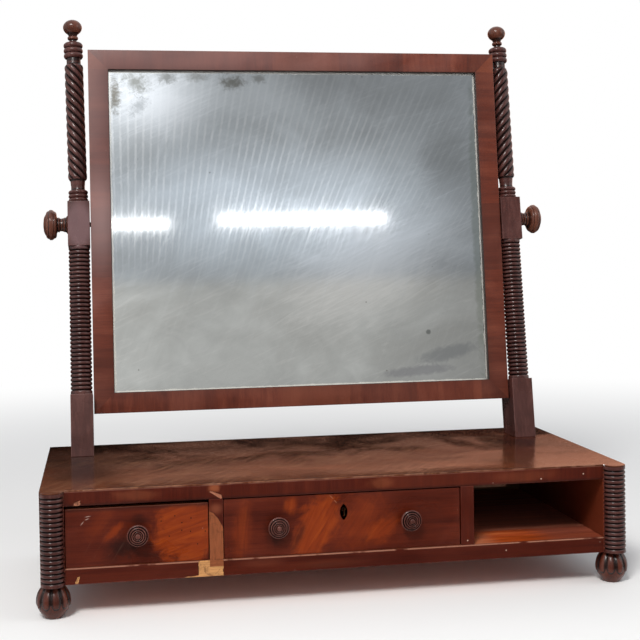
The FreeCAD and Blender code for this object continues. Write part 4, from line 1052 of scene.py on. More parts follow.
print("marks and sheets are ready")

# %% [markdown]
# ### Mahogany under old polish
#
# Mahogany shows broad ribbons along the grain, fine darker pores, and slow changes of tone. The
# recipe takes three tones and the way of the grain; each kind of piece calls it with its own.
# Its polish is thin and uneven, so its shine is soft and its roughness changes from place to
# place.

# %% Mahogany
def grain_sizes(grain, along, across):
    """Sizes in X, Y, Z order for a pattern `along` mm long on the grain's way."""
    return [along if letter == grain else across for letter in "XYZ"]


def mahogany(name, tones, grain="X", seed=1.0, ribbon=13.0, gloss=0.34, shine=0.4, turn=0.0):
    """A finish with the net of a polished wood, and its colour, still to be given."""
    finish = Finish(name, {"Specular IOR Level": shine})
    ribbons = clouds(finish, grain_sizes(grain, 230, ribbon), seed, 3, 0.55, 0.6, turn)
    streaks = clouds(finish, grain_sizes(grain, 45, 1.6), seed * 3, 4, 0.6, 0.2, turn)
    pores = clouds(finish, grain_sizes(grain, 8, 0.5), seed * 5, 2, 0.6, 0.0, turn)
    finish.slow = clouds(finish, (85, 85, 60), seed * 2, 3, 0.55, 0.5)
    tone = finish.plus(finish.times(ribbons, 0.5), finish.times(streaks, 0.25))
    tone = finish.plus(tone, finish.times(finish.slow, 0.25))
    colour = finish.colours(tone, [(0.36, tones[0]), (0.5, tones[1]), (0.64, tones[2])])
    finish.pores = finish.part(pores, 0.60, 0.72)
    colour = finish.blend(finish.times(finish.pores, 0.4), colour, tuple(v * 0.4 for v in tones[0]))
    rough = finish.part(finish.slow, 0.3, 0.7, gloss - 0.05, gloss + 0.1)
    finish.give("Roughness", finish.plus(rough, finish.times(finish.pores, 0.15)))
    finish.uneven = finish.minus(finish.times(streaks, 0.5), finish.times(finish.pores, 0.4))
    finish.tones = tones
    return finish, colour


print("streaks along X come out", grain_sizes("X", 45, 1.6), "mm long, deep and high")

# %% [markdown]
# ### Age
#
# Two hundred years leave dirt in every hollow and rub the polish off the arrises, where the wood
# shows lighter. The darkening of the hollows is also painted shade, made deep enough that the
# valleys of the turnings read as dark as in shadow. The meshes carry two numbers for this,
# `hollow` and `arris`, so that the wear sits exactly where hands and dusters have put it. A few
# pale specks are scattered over all.


# %% Age
def aged(finish, colour, wear=0.5, grime_and_shade=0.8, specks=0.35, deep=0.60):
    """Lays wear, dirt and painted shade in the hollows, and specks over a colour."""
    patchy = finish.part(finish.slow, 0.4, 0.62, 0.2, 1.0)
    worn = finish.times(finish.part(finish.carried("arris"), 0.3, 0.95), patchy)
    pale = tuple(min(1.0, v * 1.7 + 0.03) for v in finish.tones[2])
    colour = finish.blend(finish.times(worn, wear), colour, pale)
    # Dirt and painted shade: the hollows darken towards a soot-dark tone.
    hollow = finish.part(finish.carried("hollow"), 0.02, deep)
    soot_and_shade = tuple(v * 0.25 for v in finish.tones[0])
    colour = finish.blend(finish.times(hollow, grime_and_shade), colour, soot_and_shade)
    speck = finish.part(dots(finish, 26, 3), 0.018, 0.03, specks, 0.0)
    return finish.blend(speck, colour, (0.42, 0.30, 0.24))


def dress(finish, colour, objects, relief=0.09):
    """Gives the finished colour and relief to the shader, and the finish to the pieces.

    It hands back a line that says what was dressed, for the cell to print.
    """
    finish.give("Base Color", colour)
    if relief:
        inputs = {"Height": finish.uneven, "Distance": relief * MM, "Strength": 1.0}
        finish.give("Normal", finish.add("Bump", inputs).outputs["Normal"])
    for thing in objects:
        thing.data.materials.clear()
        thing.data.materials.append(finish.material)
    return f"{finish.material.name}: {len(finish.tree.nodes)} nodes, pieces: {len(objects)}"


CASE_TONES = ((0.040, 0.0046, 0.0018), (0.062, 0.0072, 0.0022), (0.084, 0.0112, 0.0034))
TURNED_TONES = ((0.036, 0.0115, 0.0095), (0.062, 0.0200, 0.0165), (0.105, 0.040, 0.033))
WARM_TONES = ((0.052, 0.0150, 0.0090), (0.095, 0.0290, 0.0165), (0.15, 0.052, 0.030))
FRAME_TONES = ((0.066, 0.0125, 0.0066), (0.112, 0.0225, 0.0110), (0.165, 0.040, 0.0200))
TOP_TONES = ((0.022, 0.0042, 0.0020), (0.046, 0.0090, 0.0036), (0.084, 0.0190, 0.0076))
print("mahogany for the case:", [round(v, 3) for v in CASE_TONES[1]])

# %% [markdown]
# ### Veneers of the case
#
# The frieze is cross-banded: its grain runs up and down, in sheets that differ in tone. The rails
# and muntins have grain along their length. Bare ground, where veneer is lost, is paler and dull,
# with the glue's dark stain around it.


# %% Bare ground and fillings
def bare_ground(finish, colour, pale, grain="Z"):
    """Shows the wood under the veneer, of a tone `pale`, where the mesh says it is bare."""
    fibres = clouds(finish, grain_sizes(grain, 16, 1.4), 4, 3, 0.6, 0.5)
    stain = clouds(finish, (9, 9, 9), 6, 4, 0.65, 0.8)
    shades = finish.colours(fibres, [(0.3, (0.62,) * 3), (0.52, (0.9,) * 3), (0.75, (1.0,) * 3)])
    ground = finish.blend(1.0, pale, shades, "MULTIPLY")
    ground = finish.blend(finish.part(stain, 0.5, 0.68, 0.0, 0.6), ground, (0.06, 0.020, 0.009))
    bare = finish.carried("bare")
    colour = finish.blend(finish.part(bare, 0.1, 0.5, 0.0, 0.8), colour, (0.02, 0.008, 0.005))
    return finish.blend(finish.part(bare, 0.45, 0.75), colour, ground)


def nail_dots(finish, colour, spots):
    """Small light dots where fillings over nails have dried out."""
    for x, z in spots:
        colour = finish.blend(mark(finish, (x, FRONT, z), (1.0, 1.0)), colour, (0.5, 0.34, 0.26))
    return colour


def edge_line(finish, colour, z, strength=0.8):
    """The rubbed arris of a rail at height z, broken here and there."""
    near = finish.calc("ABSOLUTE", finish.minus(finish.along("Z"), z * MM))
    line = finish.part(near, 0.5 * MM, 1.2 * MM, strength, 0.0)
    broken = finish.part(clouds(finish, (25, 60, 60), 8, 3, 0.6), 0.36, 0.5)
    outer = finish.rise("Y", FRONT + 0.6, FRONT + 1.2, 1.0, 0.0)
    line = finish.times(line, outer)
    return finish.blend(finish.times(line, broken), colour, (0.36, 0.17, 0.11))


print("bare ground, nail fillings and rubbed arrises are ready")

# %% [markdown]
# The frieze comes first. Its sheets stand upright, 72 mm wide, and some are redder than the
# rest. A few places are rubbed warmer, its lower edge is darkened as painted shade over the gap
# to the drawers, and two old nail fillings show as light dots.

# %% Frieze
finish, colour = mahogany("cross-banded frieze", CASE_TONES, "Z", 1.3, shine=0.15)
colour = finish.blend(finish.part(sheets(finish, "X", 72, 1), 0.45, 1.0, 0.0, 0.4), colour,
                      (0.115, 0.021, 0.009))
stir = clouds(finish, (24, 60, 14), 2, 4, 0.6, 1.0)
for centre, radii, share in (
        ((-225, FRONT, 127), (34, 8), 0.30), ((42, FRONT, 127), (20, 9), 0.35),
        ((205, FRONT, 127), (50, 9), 0.2), ((-141, FRONT, 131), (9, 6), 0.9)):
    warm = mark(finish, centre, radii, soft=0.8, stir=stir)
    colour = finish.blend(finish.times(warm, share), colour, (0.23, 0.060, 0.022))
# Painted shade: the frieze darkens towards its lower edge, over the gap to the drawers.
under = finish.rise("Z", 118.8, 122.5, 0.6, 0.0)
colour = finish.blend(under, colour, (0.020, 0.0045, 0.0030))
colour = edge_line(finish, colour, CASE_TOP - 1.4, 0.2)
colour = aged(finish, nail_dots(finish, colour, [(276, 126.0), (226, 122.6)]), 0.25)
print(dress(finish, bare_ground(finish, colour, (0.36, 0.135, 0.075)), [frieze]))

# %% [markdown]
# The bottom rail's veneer stops at the arris. Behind it, and on the dustboard, the empty bay
# shows a bright reddish strip that is painted light: the light that falls in from above in front,
# as far back as the frieze's shadow lets it reach. One function gives both pieces that painted
# light, so that the strip runs on from one to the other.

# %% Floor of the empty bay
# Tones of the strip of painted light on the floor of the empty bay.
LIT_BAY_TONES = [(0.3, (0.24, 0.040, 0.009)), (0.55, (0.44, 0.070, 0.012)), (0.75, (0.54, 0.130, 0.034))]


def painted_light_in_bay(finish):
    """The lit strip painted at the front of the empty bay: rubbed pale at its left, darker at its
    right.
    """
    colour = finish.colours(clouds(finish, (60, 9, 9), 3, 4, 0.6, 0.5), LIT_BAY_TONES)
    rubbed = finish.rise("X", 185, 155, 0.0, 0.45)
    colour = finish.blend(rubbed, colour, (0.56, 0.24, 0.13))
    # The painted light turns darker and duller towards the right end of the strip.
    painted_light_patch = finish.rise("X", 215, 255, 0.0, 0.65)
    return finish.blend(painted_light_patch, colour, (0.17, 0.050, 0.036))


print("tones of the bay's floor:", len(LIT_BAY_TONES))

# %% [markdown]
# The bottom rail has its grain along X. Light from above has rubbed and bleached its upper arris
# to a thin broken line. At its bare patch two woods meet: the pale ground of the rail and the
# redder end of the muntin.

# %% Bottom rail
finish, colour = mahogany("bottom rail veneer", CASE_TONES, "X", 2.1, shine=0.15)
for centre, radii in (((-90, FRONT, 47), (32, 7)), ((-20, FRONT, 42), (60, 6))):
    warm = mark(finish, centre, radii, soft=0.8)
    colour = finish.blend(finish.times(warm, 0.15), colour, (0.20, 0.055, 0.025))
# Painted light: the rail's upper side, inside the bay, gets the bay's painted lit strip.
painted_bay_light = finish.rise("Y", FRONT + 1, FRONT + 3)
colour = finish.blend(painted_bay_light, colour, painted_light_in_bay(finish))
colour = edge_line(finish, colour, OPENING_BOTTOM - 0.4)
colour = aged(finish, nail_dots(finish, colour, [(184, 44.5)]), 0.4)
low = finish.rise("Z", 45.5, 46.3, 1.0, 0.0)
pale = finish.blend(finish.calc("MAXIMUM", low, finish.rise("X", -147, -147.6)),
                    (0.26, 0.075, 0.028), (0.56, 0.27, 0.10))
print(dress(finish, bare_ground(finish, colour, pale, "X"), [bottom_rail]))

# %% [markdown]
# The two muntins are one finish with upright grain. Only the left one carries a bare patch in its
# mesh, so the same net leaves the right one whole.

# %% Muntins
finish, colour = mahogany("muntin veneer", CASE_TONES, "Z", 3.4, shine=0.15)
colour = finish.blend(mark(finish, (-140, FRONT, 108), (10, 9), soft=0.9), colour,
                      (0.15, 0.036, 0.016))
colour = aged(finish, nail_dots(finish, colour, [(139.5, 58)]), 0.4)
print(dress(finish, bare_ground(finish, colour, (0.26, 0.075, 0.028)),
            [left_muntin, right_muntin]))

# %% [markdown]
# The side boards have their grain from front to back. Their inner faces were never polished, and
# the distance from the middle of the case tells the two faces apart.

# %% Sides
finish, colour = mahogany("side veneer", CASE_TONES, "Y", 4.2, ribbon=22, shine=0.3)
inner = finish.part(finish.calc("ABSOLUTE", finish.along("X")), 300.5 * MM, 301.5 * MM, 0.55, 0.0)
colour = finish.blend(inner, colour, (0.21, 0.040, 0.014))
print(dress(finish, aged(finish, colour, 0.3), sides))

# %% [markdown]
# ### The polished top
#
# The top keeps the best polish, so it mirrors the uprights. Its veneer has a ripple figure:
# short waves across the grain, whose light streaks are painted into the colour as painted sheen
# over the wood's own figure. The waves are a stretched cloud pattern, used twice, for the tone
# and for a very slight relief. The front of the top is painted lighter as painted light, and its
# back, under the looking glass, darker as the glass's painted shadow.

# %% Top
finish, colour = mahogany("top veneer", TOP_TONES, "X", 5.0, ribbon=30, gloss=0.09, shine=0.32)
patches = clouds(finish, (110, 60, 60), 4, 4, 0.6, 0.8, swing=-20)
colour = finish.blend(finish.part(patches, 0.50, 0.40, 0.0, 0.8), colour, (0.018, 0.0046, 0.0028))
colour = finish.blend(finish.part(patches, 0.55, 0.68, 0.0, 0.8), colour, (0.125, 0.030, 0.0120))
ripple = clouds(finish, (4.5, 62, 60), 7, 2, 0.5, 0.9, swing=-30)
band = finish.part(clouds(finish, (150, 70, 90), 9.7, 3, 0.6), 0.40, 0.56, 0.0, 1.0)
band = finish.times(band, finish.rise("X", 80, 200, 1.0, 0.2))
# Painted light: the front of the top is lighter.
painted_front_light = finish.rise("Y", 0, -110, 0.0, 0.30)
colour = finish.blend(painted_front_light, colour, (0.20, 0.058, 0.020))
# The ripple figure: pale streaks of painted sheen, with darker troughs between them.
ripple_figure_and_painted_sheen = finish.times(finish.part(ripple, 0.43, 0.68), band)
colour = finish.blend(finish.times(ripple_figure_and_painted_sheen, 0.60), colour, (0.205, 0.088, 0.044))
troughs = finish.times(finish.part(ripple, 0.50, 0.32), band)
colour = finish.blend(finish.times(troughs, 0.35), colour, (0.030, 0.0085, 0.0045))
# Painted shadow: the back of the top, under the looking glass, is darkened.
painted_mirror_shadow = finish.times(finish.rise("Y", -60, 80, 0.0, 0.85), finish.rise("X", 80, 200, 1.0, 0.0))
colour = finish.blend(painted_mirror_shadow, colour, (0.012, 0.0035, 0.0020))
finish.uneven = finish.plus(finish.times(ripple, 2.2), finish.uneven)
rim = finish.rise("Y", FRONT + 2.2, FRONT + 0.8, 0.0, 0.3)
broken = finish.part(clouds(finish, (18, 18, 60), 5, 3, 0.6), 0.42, 0.55)
colour = finish.blend(finish.times(rim, broken), colour, (0.34, 0.17, 0.11))
spill = mark(finish, (-275, -50, CASE_TOP), (70, 85, 40), soft=0.9)
colour = finish.blend(finish.times(spill, 0.85), colour, (0.020, 0.0070, 0.0050))
print(dress(finish, colour, [top], 0.03))

# %% [markdown]
# ### Flame veneer of the drawers
#
# The drawer fronts were cut from a crotch, where a branch leaves the trunk: the grain sweeps up
# in plumes between darker wood. Each plume is an oval mark with a frayed border, filled with
# streaks that lean the plume's way.


# %% Plumes
DRAWER_TONES = ((0.044, 0.0058, 0.0024), (0.080, 0.0105, 0.0036), (0.110, 0.0155, 0.0046))
EMBER = ((0.140, 0.0180, 0.0024), (0.200, 0.0265, 0.0026), (0.262, 0.042, 0.0036))


def plume(finish, colour, centre, radii, turn, share, seed, soft):
    """Lays leaning streaks of ember colours inside a frayed oval."""
    stir = clouds(finish, (16, 40, 16), seed, 4, 0.6, 1.2)
    fibres = clouds(finish, (60, 40, 7), seed + 2, 4, 0.55, 1.6, turn)
    fill = finish.colours(fibres, [(0.30, EMBER[0]), (0.5, EMBER[1]), (0.74, EMBER[2])])
    inside = mark(finish, centre, radii, turn, soft, stir)
    return finish.blend(finish.times(inside, share), colour, fill)


def shade(finish, colour, centre, radii, turn, share):
    """Darkens a frayed oval, as where the polish has gathered or burnt."""
    stir = clouds(finish, (14, 40, 14), 9.0, 4, 0.65, 1.0)
    inside = mark(finish, centre, radii, turn, 0.85, stir)
    return finish.blend(finish.times(inside, share), colour, (0.020, 0.0050, 0.0035))


print("ember colours:", [round(tone[0], 3) for tone in EMBER])

# %% [markdown]
# The left front has one broad plume at its right and darker wood, nearly burnt, about its knob.
# Beetle holes, three pale scratches and a breath of dust lie over the veneer. A painted shadow
# darkens the top of the front, under the frieze. The upper side of the board is bare wood, and is
# painted brighter still as painted light, where it shows in the gap under the frieze.

# %% Left drawer front
finish, colour = mahogany("flame veneer of the left drawer", DRAWER_TONES, "X", 1.0, gloss=0.3,
                          shine=0.15)
for (x, z), radii, turn, share, seed, soft in (
        ((-170, 84), (46, 44), 14, 0.95, 1.0, 0.4), ((-248, 89), (20, 6), 44, 0.8, 4.0, 0.75),
        ((-262, 98), (26, 12), 50, 0.25, 6.0, 0.75)):
    colour = plume(finish, colour, (x, FRONT, z), radii, turn, share, seed, soft)
for (x, z), radii, turn, share in (((-238, 72), (30, 17), 20, 0.9), ((-222, 99), (11, 12), 40, 0.6),
                                   ((-209, 62), (26, 5), -8, 0.5)):
    colour = shade(finish, colour, (x, FRONT, z), radii, turn, share)
# Painted shadow: the top of the front darkens, under the frieze.
under = finish.rise("Z", 109.5, 114.3, 0.0, 0.75)
colour = finish.blend(under, colour, (0.024, 0.0050, 0.0030))
# Bare wood on the board's upper side, painted brighter as painted light in the gap.
bare_upper_side_and_painted_light = finish.rise("Y", FRONT + 2.3, FRONT + 3.0)
bare_upper_side_and_painted_light = finish.times(bare_upper_side_and_painted_light, finish.rise("Z", 113.8, 114.4))
colour = finish.blend(bare_upper_side_and_painted_light, colour, (0.34, 0.105, 0.055))
for x, z in ((-183.7, 102.4), (-176.3, 94.8), (-166.5, 99.2), (-176.6, 86.5), (-167.3, 84.9),
             (-151.4, 84.3), (-198.3, 97.6), (-190.0, 81.0), (-160.0, 71.0)):
    colour = finish.blend(mark(finish, (x, FRONT, z), (1.0, 1.0), soft=0.6), colour,
                          (0.012, 0.004, 0.003))
for x, z, long, turn in ((-281, 99.5, 3.6, 50), (-275, 106.4, 4.2, 8), (-276, 103.6, 3.2, 20)):
    scratch = mark(finish, (x, FRONT, z), (long, 0.6), turn, soft=0.8)
    colour = finish.blend(finish.times(scratch, 0.6), colour, (0.50, 0.36, 0.30))
dust = clouds(finish, (34, 40, 5), 12, 4, 0.6, 1.0, 58)
dusty = finish.times(finish.part(dust, 0.52, 0.70),
                    mark(finish, (-255, FRONT, 72), (34, 20), soft=0.8))
colour = finish.blend(finish.times(dusty, 0.10), colour, (0.30, 0.15, 0.10))
print(dress(finish, aged(finish, colour, 0.25), [left_front]))

# %% [markdown]
# The middle front is the show piece: a tall plume leans to the right of the left knob and
# spreads past the keyhole. It is built of several ovals, the broad ones first. Two short cracks
# run from the keyhole's upper left.

# %% Middle drawer front
finish, colour = mahogany("flame veneer of the middle drawer", DRAWER_TONES, "X", 2.0, gloss=0.3,
                          shine=0.15)
for (x, z), radii, turn, share, seed, soft in (
        ((-112, 84), (46, 14), 84, 0.45, 2.0, 0.75), ((-30, 84), (50, 25), 64, 0.95, 3.0, 0.5),
        ((-58, 108), (14, 11), 80, 0.8, 5.0, 0.75), ((44, 76), (28, 16), 40, 0.75, 6.0, 0.75),
        ((18, 86), (46, 34), 55, 0.5, 7.0, 0.75)):
    colour = plume(finish, colour, (x, FRONT, z), radii, turn, share, seed, soft)
for (x, z), radii, turn, share in (((-76, 78), (17, 24), 0, 0.65), ((96, 80), (38, 34), 0, 0.2),
                                   ((-49, 74), (7, 24), -24, 0.6)):
    colour = shade(finish, colour, (x, FRONT, z), radii, turn, share)
for (x, z), long, turn in (((-13.5, 114), 4.2, -46), ((-9, 108.8), 3.6, -50)):
    crack = mark(finish, (x, FRONT, z), (long, 0.6), turn, soft=0.8)
    colour = finish.blend(finish.times(crack, 0.5), colour, (0.40, 0.19, 0.10))
print(dress(finish, aged(finish, colour, 0.25), [centre_front]))

# %% [markdown]
# ### Turned wood
#
# The turnings are darker, with old wax and dirt in every valley, deepened there by painted
# shade, and a soft shine on the crests. The left upright's block has a patch of painted sheen.

# %% Turned wood
FOOT_TONES = ((0.034, 0.0080, 0.0046), (0.070, 0.0155, 0.0085), (0.120, 0.034, 0.020))
KNOB_TONES = ((0.040, 0.0115, 0.0080), (0.088, 0.026, 0.019), (0.160, 0.060, 0.046))
for name, seed, tones, deep, objects in (
        ("turned mahogany", 6.0, TURNED_TONES, 0.30, uprights),
        ("twisted mahogany", 6.3, TURNED_TONES, 0.40, twists),
        ("turned mahogany of the corners", 6.6, TURNED_TONES, 0.26, columns),
        ("turned mahogany, warmer", 7.0, WARM_TONES, 0.40, finials + clamps),
        ("carved mahogany", 7.3, FOOT_TONES, 0.36, feet),
        ("knob mahogany", 7.7, KNOB_TONES, 0.25, knobs)):
    finish, colour = mahogany(name, tones, "Z", seed, gloss=0.24, shine=0.32)
    if objects is uprights:
        # Painted sheen, partly a dusty haze: a pinkish grey patch on the left upright's block.
        painted_light_patch = mark(finish, (-UPRIGHT_X, PIVOT_Y, PIVOT_Z), (20, 38))
        colour = finish.blend(finish.times(painted_light_patch, 0.65), colour, (0.16, 0.09, 0.095))
    print(dress(finish, aged(finish, colour, 0.6, 0.97, 0.0, deep), objects))

# %% [markdown]
# ### Cross-banded frame
#
# The frame's veneer runs across each member in short sheets, whose joints show as steps of tone.
# Towards the upper left it is lighter and pinkish grey: painted sheen, partly a milky bloom of the
# old polish. Painted shade lines the sight edge, next to the glass.

# %% Frame veneer
for name, objects, grain, way, seed in (("stile veneer", stiles, "X", "Z", 8.0),
                                        ("mirror rail veneer", mirror_rails, "Z", "X", 9.0)):
    finish, colour = mahogany(name, FRAME_TONES, grain, seed, ribbon=16, gloss=0.33, shine=0.25)
    tone = sheets(finish, way, 88, seed)
    colour = finish.blend(finish.part(tone, 0.5, 1.0, 0.0, 0.45), colour, (0.044, 0.0120, 0.0088))
    colour = finish.blend(finish.part(tone, 0.40, 0.0, 0.0, 0.5), colour, (0.165, 0.044, 0.021))
    # Painted sheen, partly a milky bloom of the polish: lighter and pinkish grey towards the upper
    # left.
    bloom_and_painted_sheen = finish.minus(finish.times(finish.along("Z"), 1.5), finish.along("X"))
    bloom_and_painted_sheen = finish.plus(bloom_and_painted_sheen, finish.times(finish.slow, 0.35))
    colour = finish.blend(finish.part(bloom_and_painted_sheen, 0.82, 1.30, 0.0, 0.55), colour, (0.165, 0.106, 0.104))
    # Painted sheen: a pale pinkish patch on the left stile.
    pale = mark(finish, (-255, PIVOT_Y, 425), (40, 95), soft=1.0)
    colour = finish.blend(finish.times(pale, 0.6), colour, (0.26, 0.175, 0.170))
    colour = aged(finish, colour, 0.4, 0.8)
    # Painted shade along the sight edge, next to the glass.
    colour = finish.blend(finish.part(finish.carried("lip"), 0.2, 0.8, 0.0, 0.9), colour,
                          (0.012, 0.006, 0.005))
    print(dress(finish, colour, objects))

# %% [markdown]
# ### Old silvered glass
#
# The plate is a mirror whose silver has aged: a grey cast, foxing in the upper left corner and
# along the top, specks, wiping marks, and a thin pale border where damp has crept in under the
# rabbet. All of it is laid over a metal surface, because silvered glass reflects like one.

# %% Silvered glass
finish = Finish("old silvered glass", {"Metallic": 1.0})
SIGHT_X, SIGHT_Z = MIRROR_HALF - MEMBER, MIRROR_HALF_HEIGHT - MEMBER
middle_y = PIVOT_Y - MIRROR_DROP * math.sin(TILT)
middle_z = PIVOT_Z - MIRROR_DROP * math.cos(TILT)


def on_plate(x, z):
    """A place on the plate, from its middle, in the frame's own leaning plane."""
    return (x, middle_y + z * math.sin(TILT), middle_z + z * math.cos(TILT))


haze = clouds(finish, (150, 150, 110), 1, 4, 0.55, 0.7)
colour = finish.colours(haze, [(0.3, (0.52, 0.54, 0.55)), (0.5, (0.64, 0.67, 0.69)),
                               (0.7, (0.78, 0.82, 0.85))])
wipes = clouds(finish, (150, 200, 5), 2, 5, 0.6, 0.5, 68)
colour = finish.blend(finish.part(wipes, 0.46, 0.75, 0.0, 0.12), colour, (0.92, 0.95, 0.98))
swirl = clouds(finish, (90, 200, 9), 3, 4, 0.6, 2.2, 24)
colour = finish.blend(finish.part(swirl, 0.50, 0.74, 0.0, 0.20), colour, (0.95, 0.97, 1.0))
patchy = clouds(finish, (60, 200, 40), 6, 4, 0.6, 1.2)
colour = finish.blend(finish.part(patchy, 0.40, 0.70, 0.0, 0.25), colour, (0.50, 0.53, 0.55))
print("sight size of the plate:", 2 * SIGHT_X, "by", 2 * SIGHT_Z)

# %% [markdown]
# A dry cloth, drawn down the plate in one sweep after another, has left fine straight streaks
# that spread like a fan. The slope of a line through the fan's centre is X over Z, measured from
# that centre, so a sine of that ratio is one streak after the other. They fade towards the top,
# the right and the lower half.

# %% Wiping streaks
FAN_LEFT, FAN_BELOW, FAN_STREAKS = 230, 610, 470.0
stir = clouds(finish, (12, 40, 12), 5, 4, 0.65, 0.8)
plate_z = finish.calc("DIVIDE", finish.minus(finish.along("Z"), middle_z * MM), math.cos(TILT))
fan = finish.calc("DIVIDE", finish.plus(finish.along("X"), FAN_LEFT * MM),
                  finish.plus(plate_z, FAN_BELOW * MM))
fan = finish.plus(fan, finish.times(swirl, 0.004))
strokes = finish.part(finish.calc("SINE", finish.times(fan, FAN_STREAKS)), 0.25, 1.0)
strokes = finish.times(strokes, finish.part(plate_z, -80 * MM, 50 * MM))
strokes = finish.times(strokes, finish.part(plate_z, 100 * MM, 210 * MM, 1.0, 0.35))
strokes = finish.times(strokes, finish.rise("X", 20, 200, 1.0, 0.4))
strokes = finish.times(strokes, finish.part(patchy, 0.35, 0.60, 0.35, 1.0))
colour = finish.blend(finish.times(strokes, 0.46), colour, (1.0, 1.0, 1.0))
print("the streaks meet", FAN_BELOW, "mm under the middle of the plate")

# %% [markdown]
# Last come the single places. Four broad soft ones are painted reflection: three lighter places
# and one darker, laid into the silver's colour as the glass would mirror them. The small frayed
# ones are foxing, where damp has eaten the silver: a ragged row along the top edge and the upper
# left corner, and a few thin grey patches at the right and the bottom.

# %% Painted reflections and foxing
# Painted reflection: three broad lighter places and one darker one, laid into the silver's colour.
for (x, z), radii, turn, share, tone in (
        ((95, -50), (200, 95), 22, 0.85, (0.95, 0.97, 1.0)),
        ((-180, 165), (95, 65), 0, 0.8, (0.95, 0.97, 1.0)),
        ((-70, 178), (110, 50), 0, 0.45, (0.92, 0.95, 0.98)),
        ((205, 78), (60, 75), 0, 0.5, (0.36, 0.37, 0.37))):
    painted_reflection_patch = mark(finish, on_plate(x, z), (radii[0], 400.0, radii[1]), turn, 1.0, swirl)
    colour = finish.blend(finish.times(painted_reflection_patch, share), colour, tone)
mottle = clouds(finish, (8, 40, 7), 9, 5, 0.7, 1.0)
fray = finish.plus(stir, finish.times(finish.minus(mottle, 0.5), 1.8))
for (x, z), radii, turn, share, tone in (
        ((-236, 172), (10, 30), 0, 0.85, (0.17, 0.15, 0.115)),
        ((-207, 190), (26, 17), -20, 0.75, (0.21, 0.21, 0.18)),
        ((-168, 197), (16, 11), 0, 0.7, (0.20, 0.20, 0.18)),
        ((-205, 160), (20, 12), 40, 0.5, (0.25, 0.27, 0.28)),
        ((-130, 198), (22, 9), 0, 0.55, (0.23, 0.22, 0.19)),
        ((-84, 192), (24, 15), 0, 0.8, (0.19, 0.18, 0.15)),
        ((-48, 197), (14, 9), 0, 0.6, (0.22, 0.21, 0.18))):
    spot = mark(finish, on_plate(x, z), (radii[0], 400.0, radii[1]), turn, 0.95, fray)
    colour = finish.blend(finish.times(spot, share), colour, tone)
for (x, z), radii, turn, share, tone in (
        ((238, 0), (9, 230), 0, 0.55, (0.36, 0.40, 0.36)),
        ((190, -168), (48, 12), 12, 0.45, (0.24, 0.26, 0.30)),
        ((150, -190), (60, 8), 4, 0.4, (0.22, 0.22, 0.28)),
        ((165, -140), (4, 4), 0, 0.7, (0.16, 0.18, 0.18))):
    spot = mark(finish, on_plate(x, z), (radii[0], 400.0, radii[1]), turn, 0.55, stir)
    colour = finish.blend(finish.times(spot, share), colour, tone)
speck = finish.part(dots(finish, 30, 2), 0.02, 0.045, 0.55, 0.0)
colour = finish.blend(speck, colour, (0.14, 0.13, 0.12))
print("the glass has", len(finish.tree.nodes), "nodes so far")

# %% [markdown]
# Damp creeps in under the rabbet, and has left a thin pale border where the silver is gone. The
# border is where the distance to the nearest sight edge is under three millimetres, frayed a
# little. It is less of a metal there, because bare glass scatters light and doesn't mirror it.

# %% Border of the plate
near_x = finish.minus(SIGHT_X * MM, finish.calc("ABSOLUTE", finish.along("X")))
near_z = finish.minus(SIGHT_Z * MM, finish.calc("ABSOLUTE", plate_z))
near = finish.calc("MINIMUM", near_x, near_z)
near = finish.plus(near, finish.times(finish.minus(stir, 0.5), 4 * MM))
border = finish.part(near, 1.2 * MM, 2.6 * MM, 0.85, 0.0)
colour = finish.blend(border, colour, (0.93, 0.92, 0.86))
finish.give("Metallic", finish.part(near, 0.8 * MM, 2.8 * MM, 0.55, 1.0))
finish.give("Roughness", finish.part(wipes, 0.35, 0.7, 0.045, 0.08))
print(dress(finish, colour, [nodes["mirror_glass"]], 0))

# %% [markdown]
# ### Plain wood, brass and iron
#
# The drawer linings, the dustboard, the back and the blocks are unpolished softwood, brown with
# age and dust. The lock and the nut plates are tarnished brass, and the screws blackened iron.


# %% Plain wood
def plain_wood(name, tones, grain, seed):
    finish = Finish(name, {"Specular IOR Level": 0.25})
    grown = clouds(finish, grain_sizes(grain, 300, 9), seed, 3, 0.6, 0.8)
    fine = clouds(finish, grain_sizes(grain, 40, 1.2), seed + 1, 3, 0.6)
    stains = clouds(finish, (120, 120, 120), seed + 2, 4, 0.6)
    tone = finish.plus(finish.times(grown, 0.6), finish.times(fine, 0.4))
    colour = finish.colours(tone, [(0.35, tones[0]), (0.5, tones[1]), (0.68, tones[2])])
    colour = finish.blend(finish.part(stains, 0.5, 0.75, 0.0, 0.5), colour,
                          tuple(v * 0.5 for v in tones[0]))
    finish.give("Roughness", finish.part(fine, 0.3, 0.7, 0.6, 0.8))
    finish.uneven = fine
    return finish, colour


print("plain wood is ready")

# %% [markdown]
# One table gives every plain wooden node its slot, the way of its grain and its three tones. The
# dustboard and the partitions are redder, and painted brighter than their wood as painted light
# inside the bays, and the kickers have darkened most.

# %% Linings and boards
PINE = ((0.13, 0.052, 0.022), (0.20, 0.090, 0.040), (0.28, 0.140, 0.066))
OLD_PINE = ((0.060, 0.022, 0.011), (0.100, 0.040, 0.019), (0.140, 0.060, 0.030))
LINING = ((0.11, 0.045, 0.022), (0.17, 0.078, 0.038), (0.23, 0.11, 0.055))
